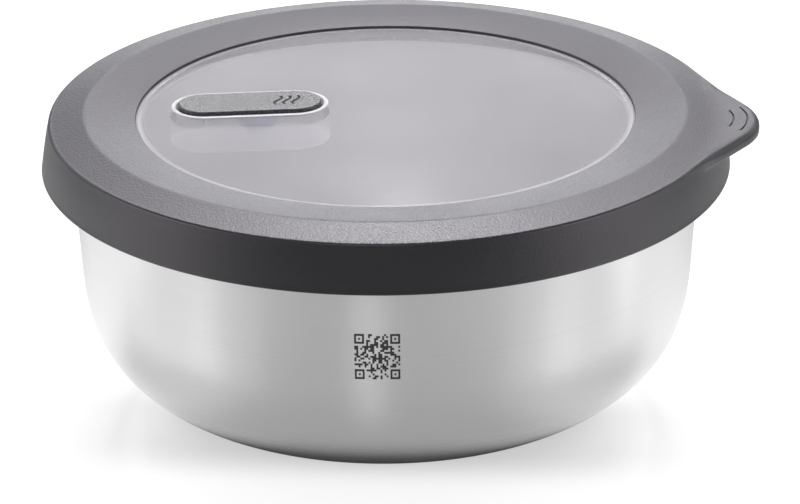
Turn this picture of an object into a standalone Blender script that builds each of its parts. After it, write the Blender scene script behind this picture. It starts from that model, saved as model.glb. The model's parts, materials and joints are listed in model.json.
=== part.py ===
"""Round steel food storage container: bowl, framed lid with a window and pull tab, and a flip-up steam vent.

Metres, +Z up. The origin is the centre of the bowl's flat base, and the lid's pull tab points along +X.
"""

import math

import bmesh
import bpy
from mathutils import Vector

MM = 0.001

# Gap between pieces that touch, and between the pin and what turns on it
CLEARANCE = 0.3 * MM
PIN_CLEARANCE = 0.1 * MM

# How far a cutter runs past the face it opens
CUT_MARGIN = 0.3 * MM

# Bowl: the outside of the sheet, and the rim that is turned out and down
BOWL_HEIGHT = 72.5 * MM
BOWL_RADIUS = 83.1 * MM
BASE_RADIUS = 41.5 * MM
SIDE_START = 34.8 * MM
SIDE_POWER = 2.33
WALL_FLARE = 3.3 * MM
FLARE_START = 20.0 * MM
FLARE_BLEND = 12.0 * MM
SHEET = 0.8 * MM
RIM_WIDTH = 2.7 * MM
RIM_BEND = 1.0 * MM
RIM_EDGE_BEND = 0.5 * MM
RIM_TURN_DOWN = 3.0 * MM

# Seal between the rim and the lid
SEAL_THICKNESS = 1.4 * MM
SEAL_SET_BACK = 0.5 * MM
SEAL_ROUNDING = 0.5 * MM

# Lid frame: skirt, top and opening
RIM_FIT = 0.4 * MM
SKIRT_TAPER = 2.35 * MM
SKIRT_HEIGHT = 12.9 * MM
SKIRT_WALL = 2.0 * MM
SKIRT_ROUNDING = 0.6 * MM
EDGE_WALL = 1.4 * MM
EDGE_ROUNDING = 1.2 * MM
CREST_INSET = 9.3 * MM
CREST_RISE = 2.1 * MM
CREST_ROUNDING = 14.0 * MM
OPENING_DROP = 1.7 * MM
LIP_THICKNESS = 0.7 * MM
LIP_REACH = 14.05 * MM

# Wall under the frame that drops into the bowl's mouth and holds the window's retainer
MOUTH_FIT = 0.8 * MM
MOUTH_WALL = 2.0 * MM
MOUTH_DEPTH = 6.0 * MM

# Pull tab
TAB_PROUD = 7.4 * MM
TAB_TIP_RADIUS = 22.0 * MM
TAB_FLANK = math.radians(33)
TAB_BLEND = 1.0 * MM
TAB_THICKNESS = 3.4 * MM
TAB_ROOT = 1.4 * MM
TAB_ROUNDING = 0.6 * MM

# Window pane and the ring that holds it
PANE_THICKNESS = 1.8 * MM
RETAINER_WIDTH = 6.0 * MM
RETAINER_HEIGHT = 3.6 * MM
RETAINER_CHAMFER = 1.8 * MM
SNAP_HEIGHT = 0.8 * MM

# Vent cap, in the lid's plan view: its centre lies inside the opening's edge, opposite the tab
VENT_INSET = 29.15 * MM
VENT_Y = 3.9 * MM
VENT_ANGLE = math.radians(8.6)
CAP_LENGTH = 36.2 * MM
CAP_WIDTH = 13.2 * MM
CAP_THICKNESS = 2.4 * MM
CAP_PROUD = 1.7 * MM
CAP_ROUNDING = 0.6 * MM

# Vent well in the pane
WELL_GAP = 1.2 * MM
FINGER_GAP = 2.35 * MM
WELL_WALL = 1.5 * MM
WELL_FLOOR = 1.2 * MM
WELL_DEPTH = 8.8 * MM
COLLAR_HEIGHT = 0.95 * MM

# Vent hinge
HINGE_INSET = 6.5 * MM
HINGE_DEPTH = 2.3 * MM
PIN_RADIUS = 0.6 * MM
SOCKET_DEPTH = 0.9 * MM
KNUCKLE_WALL = 0.8 * MM
KNUCKLE_LENGTH = 10.4 * MM

# Vent plug and the stud of the cap that carries it
PLUG_OFFSET = 2.5 * MM
PLUG_RADIUS = 6.3 * MM
PLUG_FLANGE = 1.2 * MM
PLUG_TIP_RADIUS = 1.2 * MM
STUD_RADIUS = 2.2 * MM
STUD_LENGTH = 2.6 * MM

# Facets of the turned pieces, of the small round ones and of one rounded corner
TURN_STEPS = 64
SMALL_STEPS = 32
PIN_STEPS = 16
ARC_STEPS = 3
SIDE_STEPS = 8

# Heights of the lid's pieces above the rim's top plane, which is the lid's own zero
SEAL_BOTTOM = CLEARANCE
SEAL_TOP = SEAL_BOTTOM + SEAL_THICKNESS
CEILING = SEAL_TOP + CLEARANCE
EDGE = CEILING + EDGE_WALL
SKIRT_BOTTOM = EDGE - SKIRT_HEIGHT
CREST = EDGE + CREST_RISE
OPENING_EDGE = CREST - OPENING_DROP
LIP_UNDERSIDE = OPENING_EDGE - LIP_THICKNESS
PANE_TOP = LIP_UNDERSIDE - CLEARANCE
PANE_BOTTOM = PANE_TOP - PANE_THICKNESS
RETAINER_TOP = PANE_BOTTOM - CLEARANCE
RETAINER_BOTTOM = RETAINER_TOP - RETAINER_HEIGHT
SNAP_LEVEL = (RETAINER_TOP + RETAINER_BOTTOM) / 2

# Radii that follow from what fits in what
RIM_RADIUS = BOWL_RADIUS + RIM_WIDTH
EDGE_RADIUS = RIM_RADIUS + RIM_FIT + SKIRT_WALL
SKIRT_RADIUS = EDGE_RADIUS + SKIRT_TAPER
CREST_RADIUS = EDGE_RADIUS - CREST_INSET
TAB_REACH = SKIRT_RADIUS + TAB_PROUD
MOUTH_OUTER = BOWL_RADIUS - SHEET - MOUTH_FIT
MOUTH_INNER = MOUTH_OUTER - MOUTH_WALL
INSERT_RADIUS = MOUTH_INNER - CLEARANCE
OPENING_RADIUS = MOUTH_INNER - LIP_REACH
VENT_X = VENT_INSET - OPENING_RADIUS

# Vent places in the hinge's frame: X along the cap, zero on the hinge axis
HINGE_LEVEL = PANE_TOP + CAP_PROUD - HINGE_DEPTH
PANE_LEVEL = PANE_TOP - HINGE_LEVEL
CAP_TOP = HINGE_DEPTH
CAP_UNDERSIDE = CAP_TOP - CAP_THICKNESS
CAP_CENTRE = CAP_LENGTH / 2 - HINGE_INSET
PLUG_CENTRE = CAP_CENTRE + PLUG_OFFSET
COLLAR_TOP = PANE_LEVEL + COLLAR_HEIGHT
WELL_UNDERSIDE = PANE_LEVEL - WELL_DEPTH
WELL_FLOOR_TOP = WELL_UNDERSIDE + WELL_FLOOR
WELL_WIDTH = CAP_WIDTH + 2 * WELL_GAP
WELL_LENGTH = CAP_LENGTH + WELL_GAP + FINGER_GAP
WELL_CENTRE = CAP_CENTRE + (FINGER_GAP - WELL_GAP) / 2
PLUG_TOP = CAP_UNDERSIDE - CLEARANCE
PLUG_SHOULDER = PLUG_TOP - PLUG_FLANGE
PLUG_TIP = WELL_UNDERSIDE + CLEARANCE
PIN_HOLE_RADIUS = PIN_RADIUS + PIN_CLEARANCE


def clear_scene():
    """Remove every object that the file opened with."""
    for obj in list(bpy.data.objects):
        bpy.data.objects.remove(obj, do_unlink=True)


def collection(name):
    """Return a new collection linked to the scene."""
    made = bpy.data.collections.new(name)
    bpy.context.scene.collection.children.link(made)
    return made


def finish(name, colour, roughness, metallic=0.0, alpha=1.0):
    """Return a Principled material of one colour."""
    material = bpy.data.materials.new(name)
    material.use_nodes = True
    shader = material.node_tree.nodes["Principled BSDF"]
    shader.inputs["Base Color"].default_value = (*colour, 1.0)
    shader.inputs["Roughness"].default_value = roughness
    shader.inputs["Metallic"].default_value = metallic
    shader.inputs["Alpha"].default_value = alpha
    return material


def empty(name, parent=None, location=(0, 0, 0), angle=0.0):
    """Return an empty that carries the pieces of one moving body."""
    made = bpy.data.objects.new(name, None)
    made.parent = parent
    made.location = location
    made.rotation_euler.z = angle
    PARTS.objects.link(made)
    return made


def add_object(name, mesh, group, parent=None, location=(0, 0, 0)):
    """Return a new object in a collection, under its parent."""
    made = bpy.data.objects.new(name, mesh)
    made.parent = parent
    made.location = location
    group.objects.link(made)
    if group is CUTTERS:
        made.hide_render = True
        made.display_type = "WIRE"
    return made


def smooth(obj, degrees=35):
    """Shade a round piece smooth, with its real edges kept sharp."""
    obj.data.shade_smooth()
    obj.data.set_sharp_from_angle(angle=math.radians(degrees))


def rounded(corners, closed):
    """Return (radius, height) points with each corner (radius, height, rounding) turned into an arc."""
    points = []
    for i, (r, z, rounding) in enumerate(corners):
        here = Vector((r, z))
        at_end = not closed and i in (0, len(corners) - 1)
        if at_end or rounding == 0:
            points.append(here)
            continue
        before = (Vector(corners[i - 1][:2]) - here).normalized()
        after = (Vector(corners[(i + 1) % len(corners)][:2]) - here).normalized()
        half = before.angle(after) / 2
        centre = here + (before + after).normalized() * rounding / math.sin(half)
        start = here + before * rounding / math.tan(half) - centre
        sweep = start.angle_signed(here + after * rounding / math.tan(half) - centre)
        for step in range(ARC_STEPS + 1):
            turn = -sweep * step / ARC_STEPS
            spoke = Vector((
                start.x * math.cos(turn) - start.y * math.sin(turn),
                start.x * math.sin(turn) + start.y * math.cos(turn),
            ))
            points.append(centre + spoke)
    return points


def turned(name, points, closed, group, parent=None, location=(0, 0, 0), steps=TURN_STEPS):
    """Return a turned piece: a (radius, height) profile with a Screw modifier about Z."""
    mesh = bpy.data.meshes.new(name)
    shape = bmesh.new()
    corners = [shape.verts.new((p[0], 0.0, p[1])) for p in points]
    for a, b in zip(corners, corners[1:]):
        shape.edges.new((a, b))
    if closed:
        shape.edges.new((corners[-1], corners[0]))
    shape.to_mesh(mesh)
    shape.free()
    made = add_object(name, mesh, group, parent, location)
    screw = made.modifiers.new("turn", "SCREW")
    screw.steps = steps
    screw.render_steps = steps
    screw.use_merge_vertices = True
    screw.merge_threshold = 0.01 * MM
    return made


def cone(name, radii, heights, steps, group, parent, location=(0, 0, 0)):
    """Return a cylinder or cone, given its (low, high) radii and heights."""
    mesh = bpy.data.meshes.new(name)
    shape = bmesh.new()
    bmesh.ops.create_cone(
        shape,
        cap_ends=True,
        segments=steps,
        radius1=radii[0],
        radius2=radii[1],
        depth=heights[1] - heights[0],
    )
    bmesh.ops.translate(shape, verts=shape.verts, vec=(0, 0, sum(heights) / 2))
    shape.to_mesh(mesh)
    shape.free()
    return add_object(name, mesh, group, parent, location)


def cross_pin(name, radius, half_length, group, hinge):
    """Return a cylinder that lies on the hinge axis."""
    made = cone(name, (radius, radius), (-half_length, half_length), PIN_STEPS, group, hinge)
    made.rotation_euler.x = math.pi / 2
    return made


def oblong(name, length, width, z_low, z_high, group, parent, centre_x):
    """Return a plate with round ends: a cylinder whose two halves are pulled apart along X."""
    mesh = bpy.data.meshes.new(name)
    shape = bmesh.new()
    half_step = math.pi / SMALL_STEPS
    radius = width / 2 / math.cos(half_step)
    bmesh.ops.create_cone(
        shape, cap_ends=True, segments=SMALL_STEPS, radius1=radius, radius2=radius, depth=z_high - z_low
    )
    for vert in shape.verts:
        angle = math.atan2(vert.co.y, vert.co.x) + half_step
        vert.co.x = radius * math.cos(angle)
        vert.co.y = radius * math.sin(angle)
        vert.co.x += math.copysign((length - width) / 2, vert.co.x)
        vert.co.z += (z_low + z_high) / 2
    shape.to_mesh(mesh)
    shape.free()
    return add_object(name, mesh, group, parent, (centre_x, 0, 0))


def plate(name, outline, z_low, z_high, group, parent):
    """Return a flat plate: a filled curve with a thickness, made a closed mesh."""
    curve = bpy.data.curves.new(name, "CURVE")
    curve.dimensions = "2D"
    curve.fill_mode = "BOTH"
    curve.extrude = (z_high - z_low) / 2
    line = curve.splines.new("POLY")
    line.points.add(len(outline) - 1)
    for point, (x, y) in zip(line.points, outline):
        point.co = (x, y, 0, 1)
    line.use_cyclic_u = True
    guide = bpy.data.objects.new(name + "_outline", curve)
    group.objects.link(guide)
    mesh = bpy.data.meshes.new_from_object(guide.evaluated_get(bpy.context.evaluated_depsgraph_get()))
    bpy.data.objects.remove(guide, do_unlink=True)
    shape = bmesh.new()
    shape.from_mesh(mesh)
    bmesh.ops.remove_doubles(shape, verts=shape.verts, dist=0.001 * MM)
    bmesh.ops.recalc_face_normals(shape, faces=shape.faces)
    shape.to_mesh(mesh)
    shape.free()
    return add_object(name, mesh, group, parent, (0, 0, (z_low + z_high) / 2))


def combine(piece, other, operation, solver="EXACT"):
    """Join another shape to a piece, or cut it away."""
    step = piece.modifiers.new(other.name, "BOOLEAN")
    step.operation = operation
    step.solver = solver
    step.object = other


def round_edges(piece, width, degrees=50):
    """Round the edges of a piece that are sharper than an angle."""
    bevel = piece.modifiers.new("rounding", "BEVEL")
    bevel.width = width
    bevel.segments = 2
    bevel.limit_method = "ANGLE"
    bevel.angle_limit = math.radians(degrees)


def flare(height):
    """How much wider the flare makes the bowl at a height: a soft start, then straight up to the rim."""
    past = height - FLARE_START
    if abs(past) < FLARE_BLEND:
        past = (past + FLARE_BLEND) ** 2 / (4 * FLARE_BLEND)
    return WALL_FLARE * max(past, 0) / (BOWL_HEIGHT - FLARE_START)


def make_bowl():
    """Deep-drawn bowl: a turned sheet with its thickness on the inside."""
    under_rim = BOWL_HEIGHT - SHEET
    rim_inside = RIM_RADIUS - SHEET
    profile = rounded(
        [
            (rim_inside, BOWL_HEIGHT - RIM_TURN_DOWN, 0),
            (rim_inside, under_rim, RIM_EDGE_BEND),
            (BOWL_RADIUS, under_rim, RIM_BEND),
            (BOWL_RADIUS - WALL_FLARE + flare(SIDE_START), SIDE_START, 0),
        ],
        closed=False,
    )
    for step in range(SIDE_STEPS - 1, 0, -1):
        angle = math.pi / 2 * step / SIDE_STEPS
        out = math.sin(angle) ** (2 / SIDE_POWER)
        down = math.cos(angle) ** (2 / SIDE_POWER)
        height = SIDE_START * (1 - down)
        profile.append((BASE_RADIUS + (BOWL_RADIUS - WALL_FLARE - BASE_RADIUS) * out + flare(height), height))
    profile += [(BASE_RADIUS, 0), (0, 0)]
    bowl = turned("bowl", profile, False, PARTS)
    wall = bowl.modifiers.new("sheet", "SOLIDIFY")
    wall.thickness = SHEET
    wall.offset = -1
    wall.use_even_offset = True
    bowl.data.materials.append(finish("brushed_steel", (0.62, 0.61, 0.60), 0.32, metallic=1.0))
    smooth(bowl)


def make_lid_frame(lid):
    """Frame with its skirt, the wall that drops into the bowl's mouth, and the pull tab."""
    skirt_inner = SKIRT_RADIUS - SKIRT_WALL
    groove = SNAP_HEIGHT + CLEARANCE
    profile = rounded(
        [
            (CREST_RADIUS, CREST, CREST_ROUNDING),
            (EDGE_RADIUS, EDGE, EDGE_ROUNDING),
            (SKIRT_RADIUS, SKIRT_BOTTOM, SKIRT_ROUNDING),
            (skirt_inner, SKIRT_BOTTOM, SKIRT_ROUNDING),
            (EDGE_RADIUS - SKIRT_WALL, CEILING, 0),
            (MOUTH_OUTER, CEILING, 0),
            (MOUTH_OUTER, -MOUTH_DEPTH, SKIRT_ROUNDING),
            (MOUTH_INNER, -MOUTH_DEPTH, SKIRT_ROUNDING),
            (MOUTH_INNER, SNAP_LEVEL - groove, 0),
            (MOUTH_INNER + groove, SNAP_LEVEL, 0),
            (MOUTH_INNER, SNAP_LEVEL + groove, 0),
            (MOUTH_INNER, LIP_UNDERSIDE, 0),
            (OPENING_RADIUS, LIP_UNDERSIDE, 0),
            (OPENING_RADIUS, OPENING_EDGE, 0),
        ],
        closed=True,
    )
    frame = turned("lid_frame", profile, True, PARTS, lid)
    tab = plate("pull_tab", tab_outline(), EDGE - TAB_THICKNESS, EDGE, CUTTERS, lid)
    round_edges(tab, TAB_ROUNDING)
    combine(frame, tab, "UNION", solver="MANIFOLD")
    frame.data.materials.append(finish("soft_grey_plastic", (0.09, 0.088, 0.093), 0.55))
    smooth(frame)


def tab_edge(angle):
    """Distance from the axis to the tab's edge: a round tip, straight flanks and hollow corners at the lid."""
    turn = abs(angle)
    tip_centre = TAB_REACH - TAB_TIP_RADIUS
    tip_end_y = TAB_TIP_RADIUS * math.sin(TAB_FLANK)
    if turn < math.atan2(tip_end_y, tip_centre + TAB_TIP_RADIUS * math.cos(TAB_FLANK)):
        aside = tip_centre * math.sin(turn)
        return tip_centre * math.cos(turn) + math.sqrt(TAB_TIP_RADIUS**2 - aside**2)
    flank = (tip_centre * math.cos(TAB_FLANK) + TAB_TIP_RADIUS) / math.cos(TAB_FLANK - turn)
    near = max(TAB_BLEND - abs(flank - EDGE_RADIUS), 0)
    return max(flank, EDGE_RADIUS) + near**2 / (4 * TAB_BLEND)


def tab_outline():
    """Tab seen from above, with its root inside the skirt."""
    tip_centre = TAB_REACH - TAB_TIP_RADIUS
    flank_distance = tip_centre * math.cos(TAB_FLANK) + TAB_TIP_RADIUS
    end = TAB_FLANK - math.acos(min(flank_distance / (EDGE_RADIUS - TAB_BLEND), 1))
    turns = [end * (2 * i / SMALL_STEPS - 1) for i in range(SMALL_STEPS + 1)]
    edge = [(tab_edge(t) * math.cos(t), tab_edge(t) * math.sin(t)) for t in turns]
    root_radius = EDGE_RADIUS - TAB_ROOT
    root = [(root_radius * math.cos(t), root_radius * math.sin(t)) for t in reversed(turns[::2])]
    return [*edge, *root]


def make_seal(lid):
    """Flat silicone ring that lies between the bowl's rim and the lid."""
    inner = MOUTH_OUTER + CLEARANCE
    outer = RIM_RADIUS - SEAL_SET_BACK
    profile = rounded(
        [
            (outer, SEAL_TOP, SEAL_ROUNDING),
            (outer, SEAL_BOTTOM, SEAL_ROUNDING),
            (inner, SEAL_BOTTOM, SEAL_ROUNDING),
            (inner, SEAL_TOP, SEAL_ROUNDING),
        ],
        closed=True,
    )
    seal = turned("lid_seal", profile, True, PARTS, lid)
    seal.data.materials.append(finish("silicone", (0.42, 0.42, 0.43), 0.6))
    smooth(seal)


def make_retainer(lid):
    """Ring that snaps into the frame and holds the window up against its lip."""
    inner = INSERT_RADIUS - RETAINER_WIDTH
    profile = [
        (INSERT_RADIUS, RETAINER_TOP),
        (INSERT_RADIUS, SNAP_LEVEL + SNAP_HEIGHT),
        (INSERT_RADIUS + SNAP_HEIGHT, SNAP_LEVEL),
        (INSERT_RADIUS, SNAP_LEVEL - SNAP_HEIGHT),
        (INSERT_RADIUS, RETAINER_BOTTOM),
        (inner + RETAINER_CHAMFER, RETAINER_BOTTOM),
        (inner, RETAINER_BOTTOM + RETAINER_CHAMFER),
        (inner, RETAINER_TOP),
    ]
    ring = turned("window_retainer", profile, True, PARTS, lid)
    ring.data.materials.append(finish("white_plastic", (0.80, 0.79, 0.82), 0.5))
    smooth(ring)


def make_window(lid, hinge):
    """Translucent pane with the vent well, its vent hole and the sockets of the hinge pin."""
    profile = [(0, PANE_TOP), (INSERT_RADIUS, PANE_TOP), (INSERT_RADIUS, PANE_BOTTOM), (0, PANE_BOTTOM)]
    pane = turned("lid_window", profile, False, PARTS, lid)
    outer_length = WELL_LENGTH + 2 * WELL_WALL
    outer_width = WELL_WIDTH + 2 * WELL_WALL
    well = oblong(
        "well_body", outer_length, outer_width, WELL_UNDERSIDE, COLLAR_TOP, CUTTERS, hinge, WELL_CENTRE
    )
    combine(pane, well, "UNION")
    hollow_top = COLLAR_TOP + CUT_MARGIN
    hollow = oblong(
        "well_hollow", WELL_LENGTH, WELL_WIDTH, WELL_FLOOR_TOP, hollow_top, CUTTERS, hinge, WELL_CENTRE
    )
    combine(pane, hollow, "DIFFERENCE")
    low = WELL_UNDERSIDE - CUT_MARGIN
    high = WELL_FLOOR_TOP + CUT_MARGIN
    radii = (plug_radius(low) + CLEARANCE, plug_radius(high) + CLEARANCE)
    hole = cone("vent_hole", radii, (low, high), SMALL_STEPS, CUTTERS, hinge, (PLUG_CENTRE, 0, 0))
    combine(pane, hole, "DIFFERENCE")
    sockets = cross_pin("pin_sockets", PIN_HOLE_RADIUS, well_half_width() + SOCKET_DEPTH, CUTTERS, hinge)
    combine(pane, sockets, "DIFFERENCE")
    pane.data.materials.append(finish("milky_plastic", (0.86, 0.85, 0.88), 0.25, alpha=0.45))
    smooth(pane)


def plug_radius(level):
    """Radius of the plug's cone at a height in the hinge's frame."""
    share = (level - PLUG_TIP) / (PLUG_SHOULDER - PLUG_TIP)
    return PLUG_TIP_RADIUS + (PLUG_RADIUS - PLUG_TIP_RADIUS) * share


def well_half_width():
    """Half of the well's width where the hinge pin crosses it, near its round end."""
    end_radius = WELL_WIDTH / 2
    from_end_centre = CAP_WIDTH / 2 - HINGE_INSET
    return math.sqrt(end_radius**2 - from_end_centre**2)


def make_vent_cap(hinge):
    """Oblong cap with the knuckle it turns on and the stud that carries the plug."""
    cap = oblong("vent_cap", CAP_LENGTH, CAP_WIDTH, CAP_UNDERSIDE, CAP_TOP, PARTS, hinge, CAP_CENTRE)
    round_edges(cap, CAP_ROUNDING)
    knuckle = cross_pin("knuckle", PIN_HOLE_RADIUS + KNUCKLE_WALL, KNUCKLE_LENGTH / 2, CUTTERS, hinge)
    combine(cap, knuckle, "UNION")
    heights = (CAP_UNDERSIDE - STUD_LENGTH, CAP_UNDERSIDE + CAP_THICKNESS / 2)
    place = (PLUG_CENTRE, 0, 0)
    stud = cone("plug_stud", (STUD_RADIUS, STUD_RADIUS), heights, PIN_STEPS, CUTTERS, hinge, place)
    combine(cap, stud, "UNION")
    bore = cross_pin("knuckle_bore", PIN_HOLE_RADIUS, CAP_WIDTH, CUTTERS, hinge)
    combine(cap, bore, "DIFFERENCE")
    cap.data.materials.append(finish("cap_plastic", (0.16, 0.16, 0.165), 0.5))
    smooth(cap)


def make_hinge_pin(hinge):
    """Pin of the vent hinge, held in the well's two sockets."""
    half = well_half_width() + SOCKET_DEPTH - CLEARANCE
    pin = cross_pin("vent_hinge_pin", PIN_RADIUS, half, PARTS, hinge)
    pin.data.materials.append(finish("pin_steel", (0.6, 0.6, 0.6), 0.3, metallic=1.0))
    smooth(pin)


def make_vent_plug(hinge):
    """Silicone cone that closes the vent hole, pushed onto the cap's stud."""
    socket_radius = STUD_RADIUS + CLEARANCE
    socket_floor = CAP_UNDERSIDE - STUD_LENGTH - CLEARANCE
    profile = [
        (socket_radius, PLUG_TOP),
        (PLUG_RADIUS, PLUG_TOP),
        (PLUG_RADIUS, PLUG_SHOULDER),
        (PLUG_TIP_RADIUS, PLUG_TIP),
        (0, PLUG_TIP),
    ]
    socket = [(0, socket_floor), (socket_radius, socket_floor)]
    plug = turned(
        "vent_plug", [*socket, *profile], False, PARTS, hinge, (PLUG_CENTRE, 0, 0), steps=SMALL_STEPS
    )
    plug.data.materials.append(finish("plug_silicone", (0.62, 0.66, 0.74), 0.55))
    smooth(plug)


def make_container():
    """Build every piece: the bowl, the lid that lifts off it, and the vent that flips up on the lid."""
    make_bowl()
    lid = empty("lid_lift", location=(0, 0, BOWL_HEIGHT))
    hinge_x = VENT_X - CAP_CENTRE * math.cos(VENT_ANGLE)
    hinge_y = VENT_Y - CAP_CENTRE * math.sin(VENT_ANGLE)
    hinge = empty("vent_flip", lid, (hinge_x, hinge_y, HINGE_LEVEL), VENT_ANGLE)
    make_lid_frame(lid)
    make_seal(lid)
    make_retainer(lid)
    make_window(lid, hinge)
    make_vent_cap(hinge)
    make_hinge_pin(hinge)
    make_vent_plug(hinge)


clear_scene()
PARTS = collection("food_storage_container")
CUTTERS = collection("cutters")
make_container()
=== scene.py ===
"""Looks of a round steel food container with a framed lid and a flip-up steam vent.

Metres, +Z up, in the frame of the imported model: the origin is the centre of the bowl's base, and the
lid's pull tab points along +X. Each sub-assembly is a class that makes its meshes and dresses them.
"""

import json
import logging
import math
from collections.abc import Callable, Sequence
from dataclasses import dataclass, replace
from enum import Enum

import bmesh
import bpy
from mathutils import Matrix, Vector

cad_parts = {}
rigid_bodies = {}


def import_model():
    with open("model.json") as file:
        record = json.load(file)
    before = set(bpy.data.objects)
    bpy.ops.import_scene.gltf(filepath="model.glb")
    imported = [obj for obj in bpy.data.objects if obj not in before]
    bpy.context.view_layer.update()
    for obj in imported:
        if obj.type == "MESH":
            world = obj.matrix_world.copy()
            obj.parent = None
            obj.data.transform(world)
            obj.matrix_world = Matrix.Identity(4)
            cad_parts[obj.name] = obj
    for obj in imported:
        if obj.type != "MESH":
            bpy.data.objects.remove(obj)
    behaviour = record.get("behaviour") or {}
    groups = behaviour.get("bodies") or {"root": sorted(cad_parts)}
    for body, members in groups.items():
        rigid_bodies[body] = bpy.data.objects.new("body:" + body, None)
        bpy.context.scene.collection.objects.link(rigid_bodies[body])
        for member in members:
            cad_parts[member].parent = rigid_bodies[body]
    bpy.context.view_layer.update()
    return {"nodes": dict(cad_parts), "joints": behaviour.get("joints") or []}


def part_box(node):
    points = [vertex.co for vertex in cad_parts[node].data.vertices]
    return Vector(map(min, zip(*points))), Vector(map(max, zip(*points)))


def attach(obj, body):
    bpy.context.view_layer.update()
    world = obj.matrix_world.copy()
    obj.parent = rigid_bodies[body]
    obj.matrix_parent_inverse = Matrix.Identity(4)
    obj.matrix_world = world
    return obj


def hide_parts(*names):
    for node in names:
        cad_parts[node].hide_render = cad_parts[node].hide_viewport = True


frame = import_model()

MM = 0.001
LOG = logging.getLogger("food_container")

Colour = tuple[float, float, float]
Corner = tuple[float, float, float]
Point = tuple[float, float, float]
Span = tuple[float, float]
Profile = list[tuple[float, float]]
Socket = bpy.types.NodeSocket

# Inset and rise of the points of a small quarter round, in shares of its radius.
QUARTER_ROUND = ((0.0, 1.0), (0.13, 0.5), (0.5, 0.13), (1.0, 0.0))


class Body(Enum):
    """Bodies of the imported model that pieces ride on."""

    BOWL = "bowl"
    LID = "lid"
    VENT = "vent"


class Slot(Enum):
    """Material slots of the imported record."""

    BOWL = "bowl_steel"
    FRAME = "frame_plastic"
    WINDOW = "window_plastic"
    RETAINER = "retainer_plastic"
    SEAL = "seal_silicone"
    CAP = "cap_plastic"
    PLUG = "plug_silicone"


class Joining(Enum):
    """Ways to combine two closed meshes."""

    ADD = "UNION"
    CUT = "DIFFERENCE"


# Mesh helpers


def new_object(name: str, mesh: bpy.types.Mesh) -> bpy.types.Object:
    """Link a mesh to the scene as an object at the origin.

    Args:
        name: Name of the object and its mesh.
        mesh: Mesh with its place in its points.

    Returns:
        The new object.
    """
    mesh.name = name
    obj = bpy.data.objects.new(name, mesh)
    bpy.context.scene.collection.objects.link(obj)
    return obj


def bake_modifiers(obj: bpy.types.Object) -> None:
    """Replace an object's mesh by its evaluated one and remove its modifiers.

    Args:
        obj: Mesh object with modifiers.
    """
    graph = bpy.context.evaluated_depsgraph_get()
    mesh = bpy.data.meshes.new_from_object(obj.evaluated_get(graph), depsgraph=graph)
    obj.modifiers.clear()
    old = obj.data
    obj.data = mesh
    mesh.name = obj.name
    bpy.data.meshes.remove(old)


def close_up(obj: bpy.types.Object, merge: float = 0.002 * MM) -> None:
    """Merge doubled points, drop collapsed faces and point the faces outwards.

    Args:
        obj: Object whose mesh is cleaned.
        merge: Distance under which points are one.
    """
    shape = bmesh.new()
    shape.from_mesh(obj.data)
    bmesh.ops.remove_doubles(shape, verts=shape.verts, dist=merge)
    bmesh.ops.dissolve_degenerate(shape, edges=shape.edges, dist=merge)
    bmesh.ops.recalc_face_normals(shape, faces=shape.faces)
    shape.to_mesh(obj.data)
    shape.free()


def shade(obj: bpy.types.Object, degrees: float = 32.0) -> None:
    """Shade smooth, with edges sharper than an angle kept.

    Args:
        obj: Object to shade.
        degrees: Angle between two faces above which their edge stays sharp.
    """
    obj.data.shade_smooth()
    obj.data.set_sharp_from_angle(angle=math.radians(degrees))


def combine(piece: bpy.types.Object, tool: bpy.types.Object, joining: Joining) -> None:
    """Join a closed shape to a piece or cut it away, and remove the shape.

    Args:
        piece: Piece that is changed.
        tool: Closed mesh that is used up.
        joining: Whether the tool is added or cut.
    """
    step = piece.modifiers.new(tool.name, "BOOLEAN")
    step.operation = joining.value
    step.solver = "MANIFOLD"
    step.object = tool
    bake_modifiers(piece)
    bpy.data.objects.remove(tool, do_unlink=True)


def rounded(corners: Sequence[Corner], steps: int = 6, closed: bool = False) -> Profile:
    """Turn corners into arcs.

    Args:
        corners: Points as (radius, height, rounding).
        steps: Straight pieces in one arc.
        closed: Whether the last corner joins the first.

    Returns:
        The outline's (radius, height) points.
    """
    points: Profile = []
    for place, (radius, height, rounding) in enumerate(corners):
        here = Vector((radius, height))
        at_end = not closed and place in (0, len(corners) - 1)
        if at_end or rounding == 0:
            points.append((radius, height))
            continue
        before = (Vector(corners[place - 1][:2]) - here).normalized()
        after = (Vector(corners[(place + 1) % len(corners)][:2]) - here).normalized()
        half = before.angle(after) / 2
        centre = here + (before + after).normalized() * rounding / math.sin(half)
        start = here + before * rounding / math.tan(half) - centre
        sweep = -start.angle_signed(here + after * rounding / math.tan(half) - centre)
        for step in range(steps + 1):
            turn = Matrix.Rotation(sweep * step / steps, 2)
            spot = centre + turn @ start
            points.append((spot.x, spot.y))
    return points


def skin(name: str, rows: Sequence[Sequence[Vector]], wrap: bool, caps: bool) -> bpy.types.Object:
    """Make an object from rows of points joined by quads, each row a closed ring.

    Args:
        name: Name of the object.
        rows: Rings with the same number of points.
        wrap: Whether the last ring joins the first.
        caps: Whether the first and last ring are filled.

    Returns:
        The new object, with its faces outwards.
    """
    shape = bmesh.new()
    rings = [[shape.verts.new(point) for point in row] for row in rows]
    pairs = list(zip(rings, rings[1:]))
    if wrap:
        pairs.append((rings[-1], rings[0]))
    for low, high in pairs:
        for i in range(len(low)):
            j = (i + 1) % len(low)
            shape.faces.new((low[i], low[j], high[j], high[i]))
    if caps:
        shape.faces.new(rings[0])
        shape.faces.new(rings[-1])
    mesh = bpy.data.meshes.new(name)
    shape.to_mesh(mesh)
    shape.free()
    obj = new_object(name, mesh)
    close_up(obj)
    return obj


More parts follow.
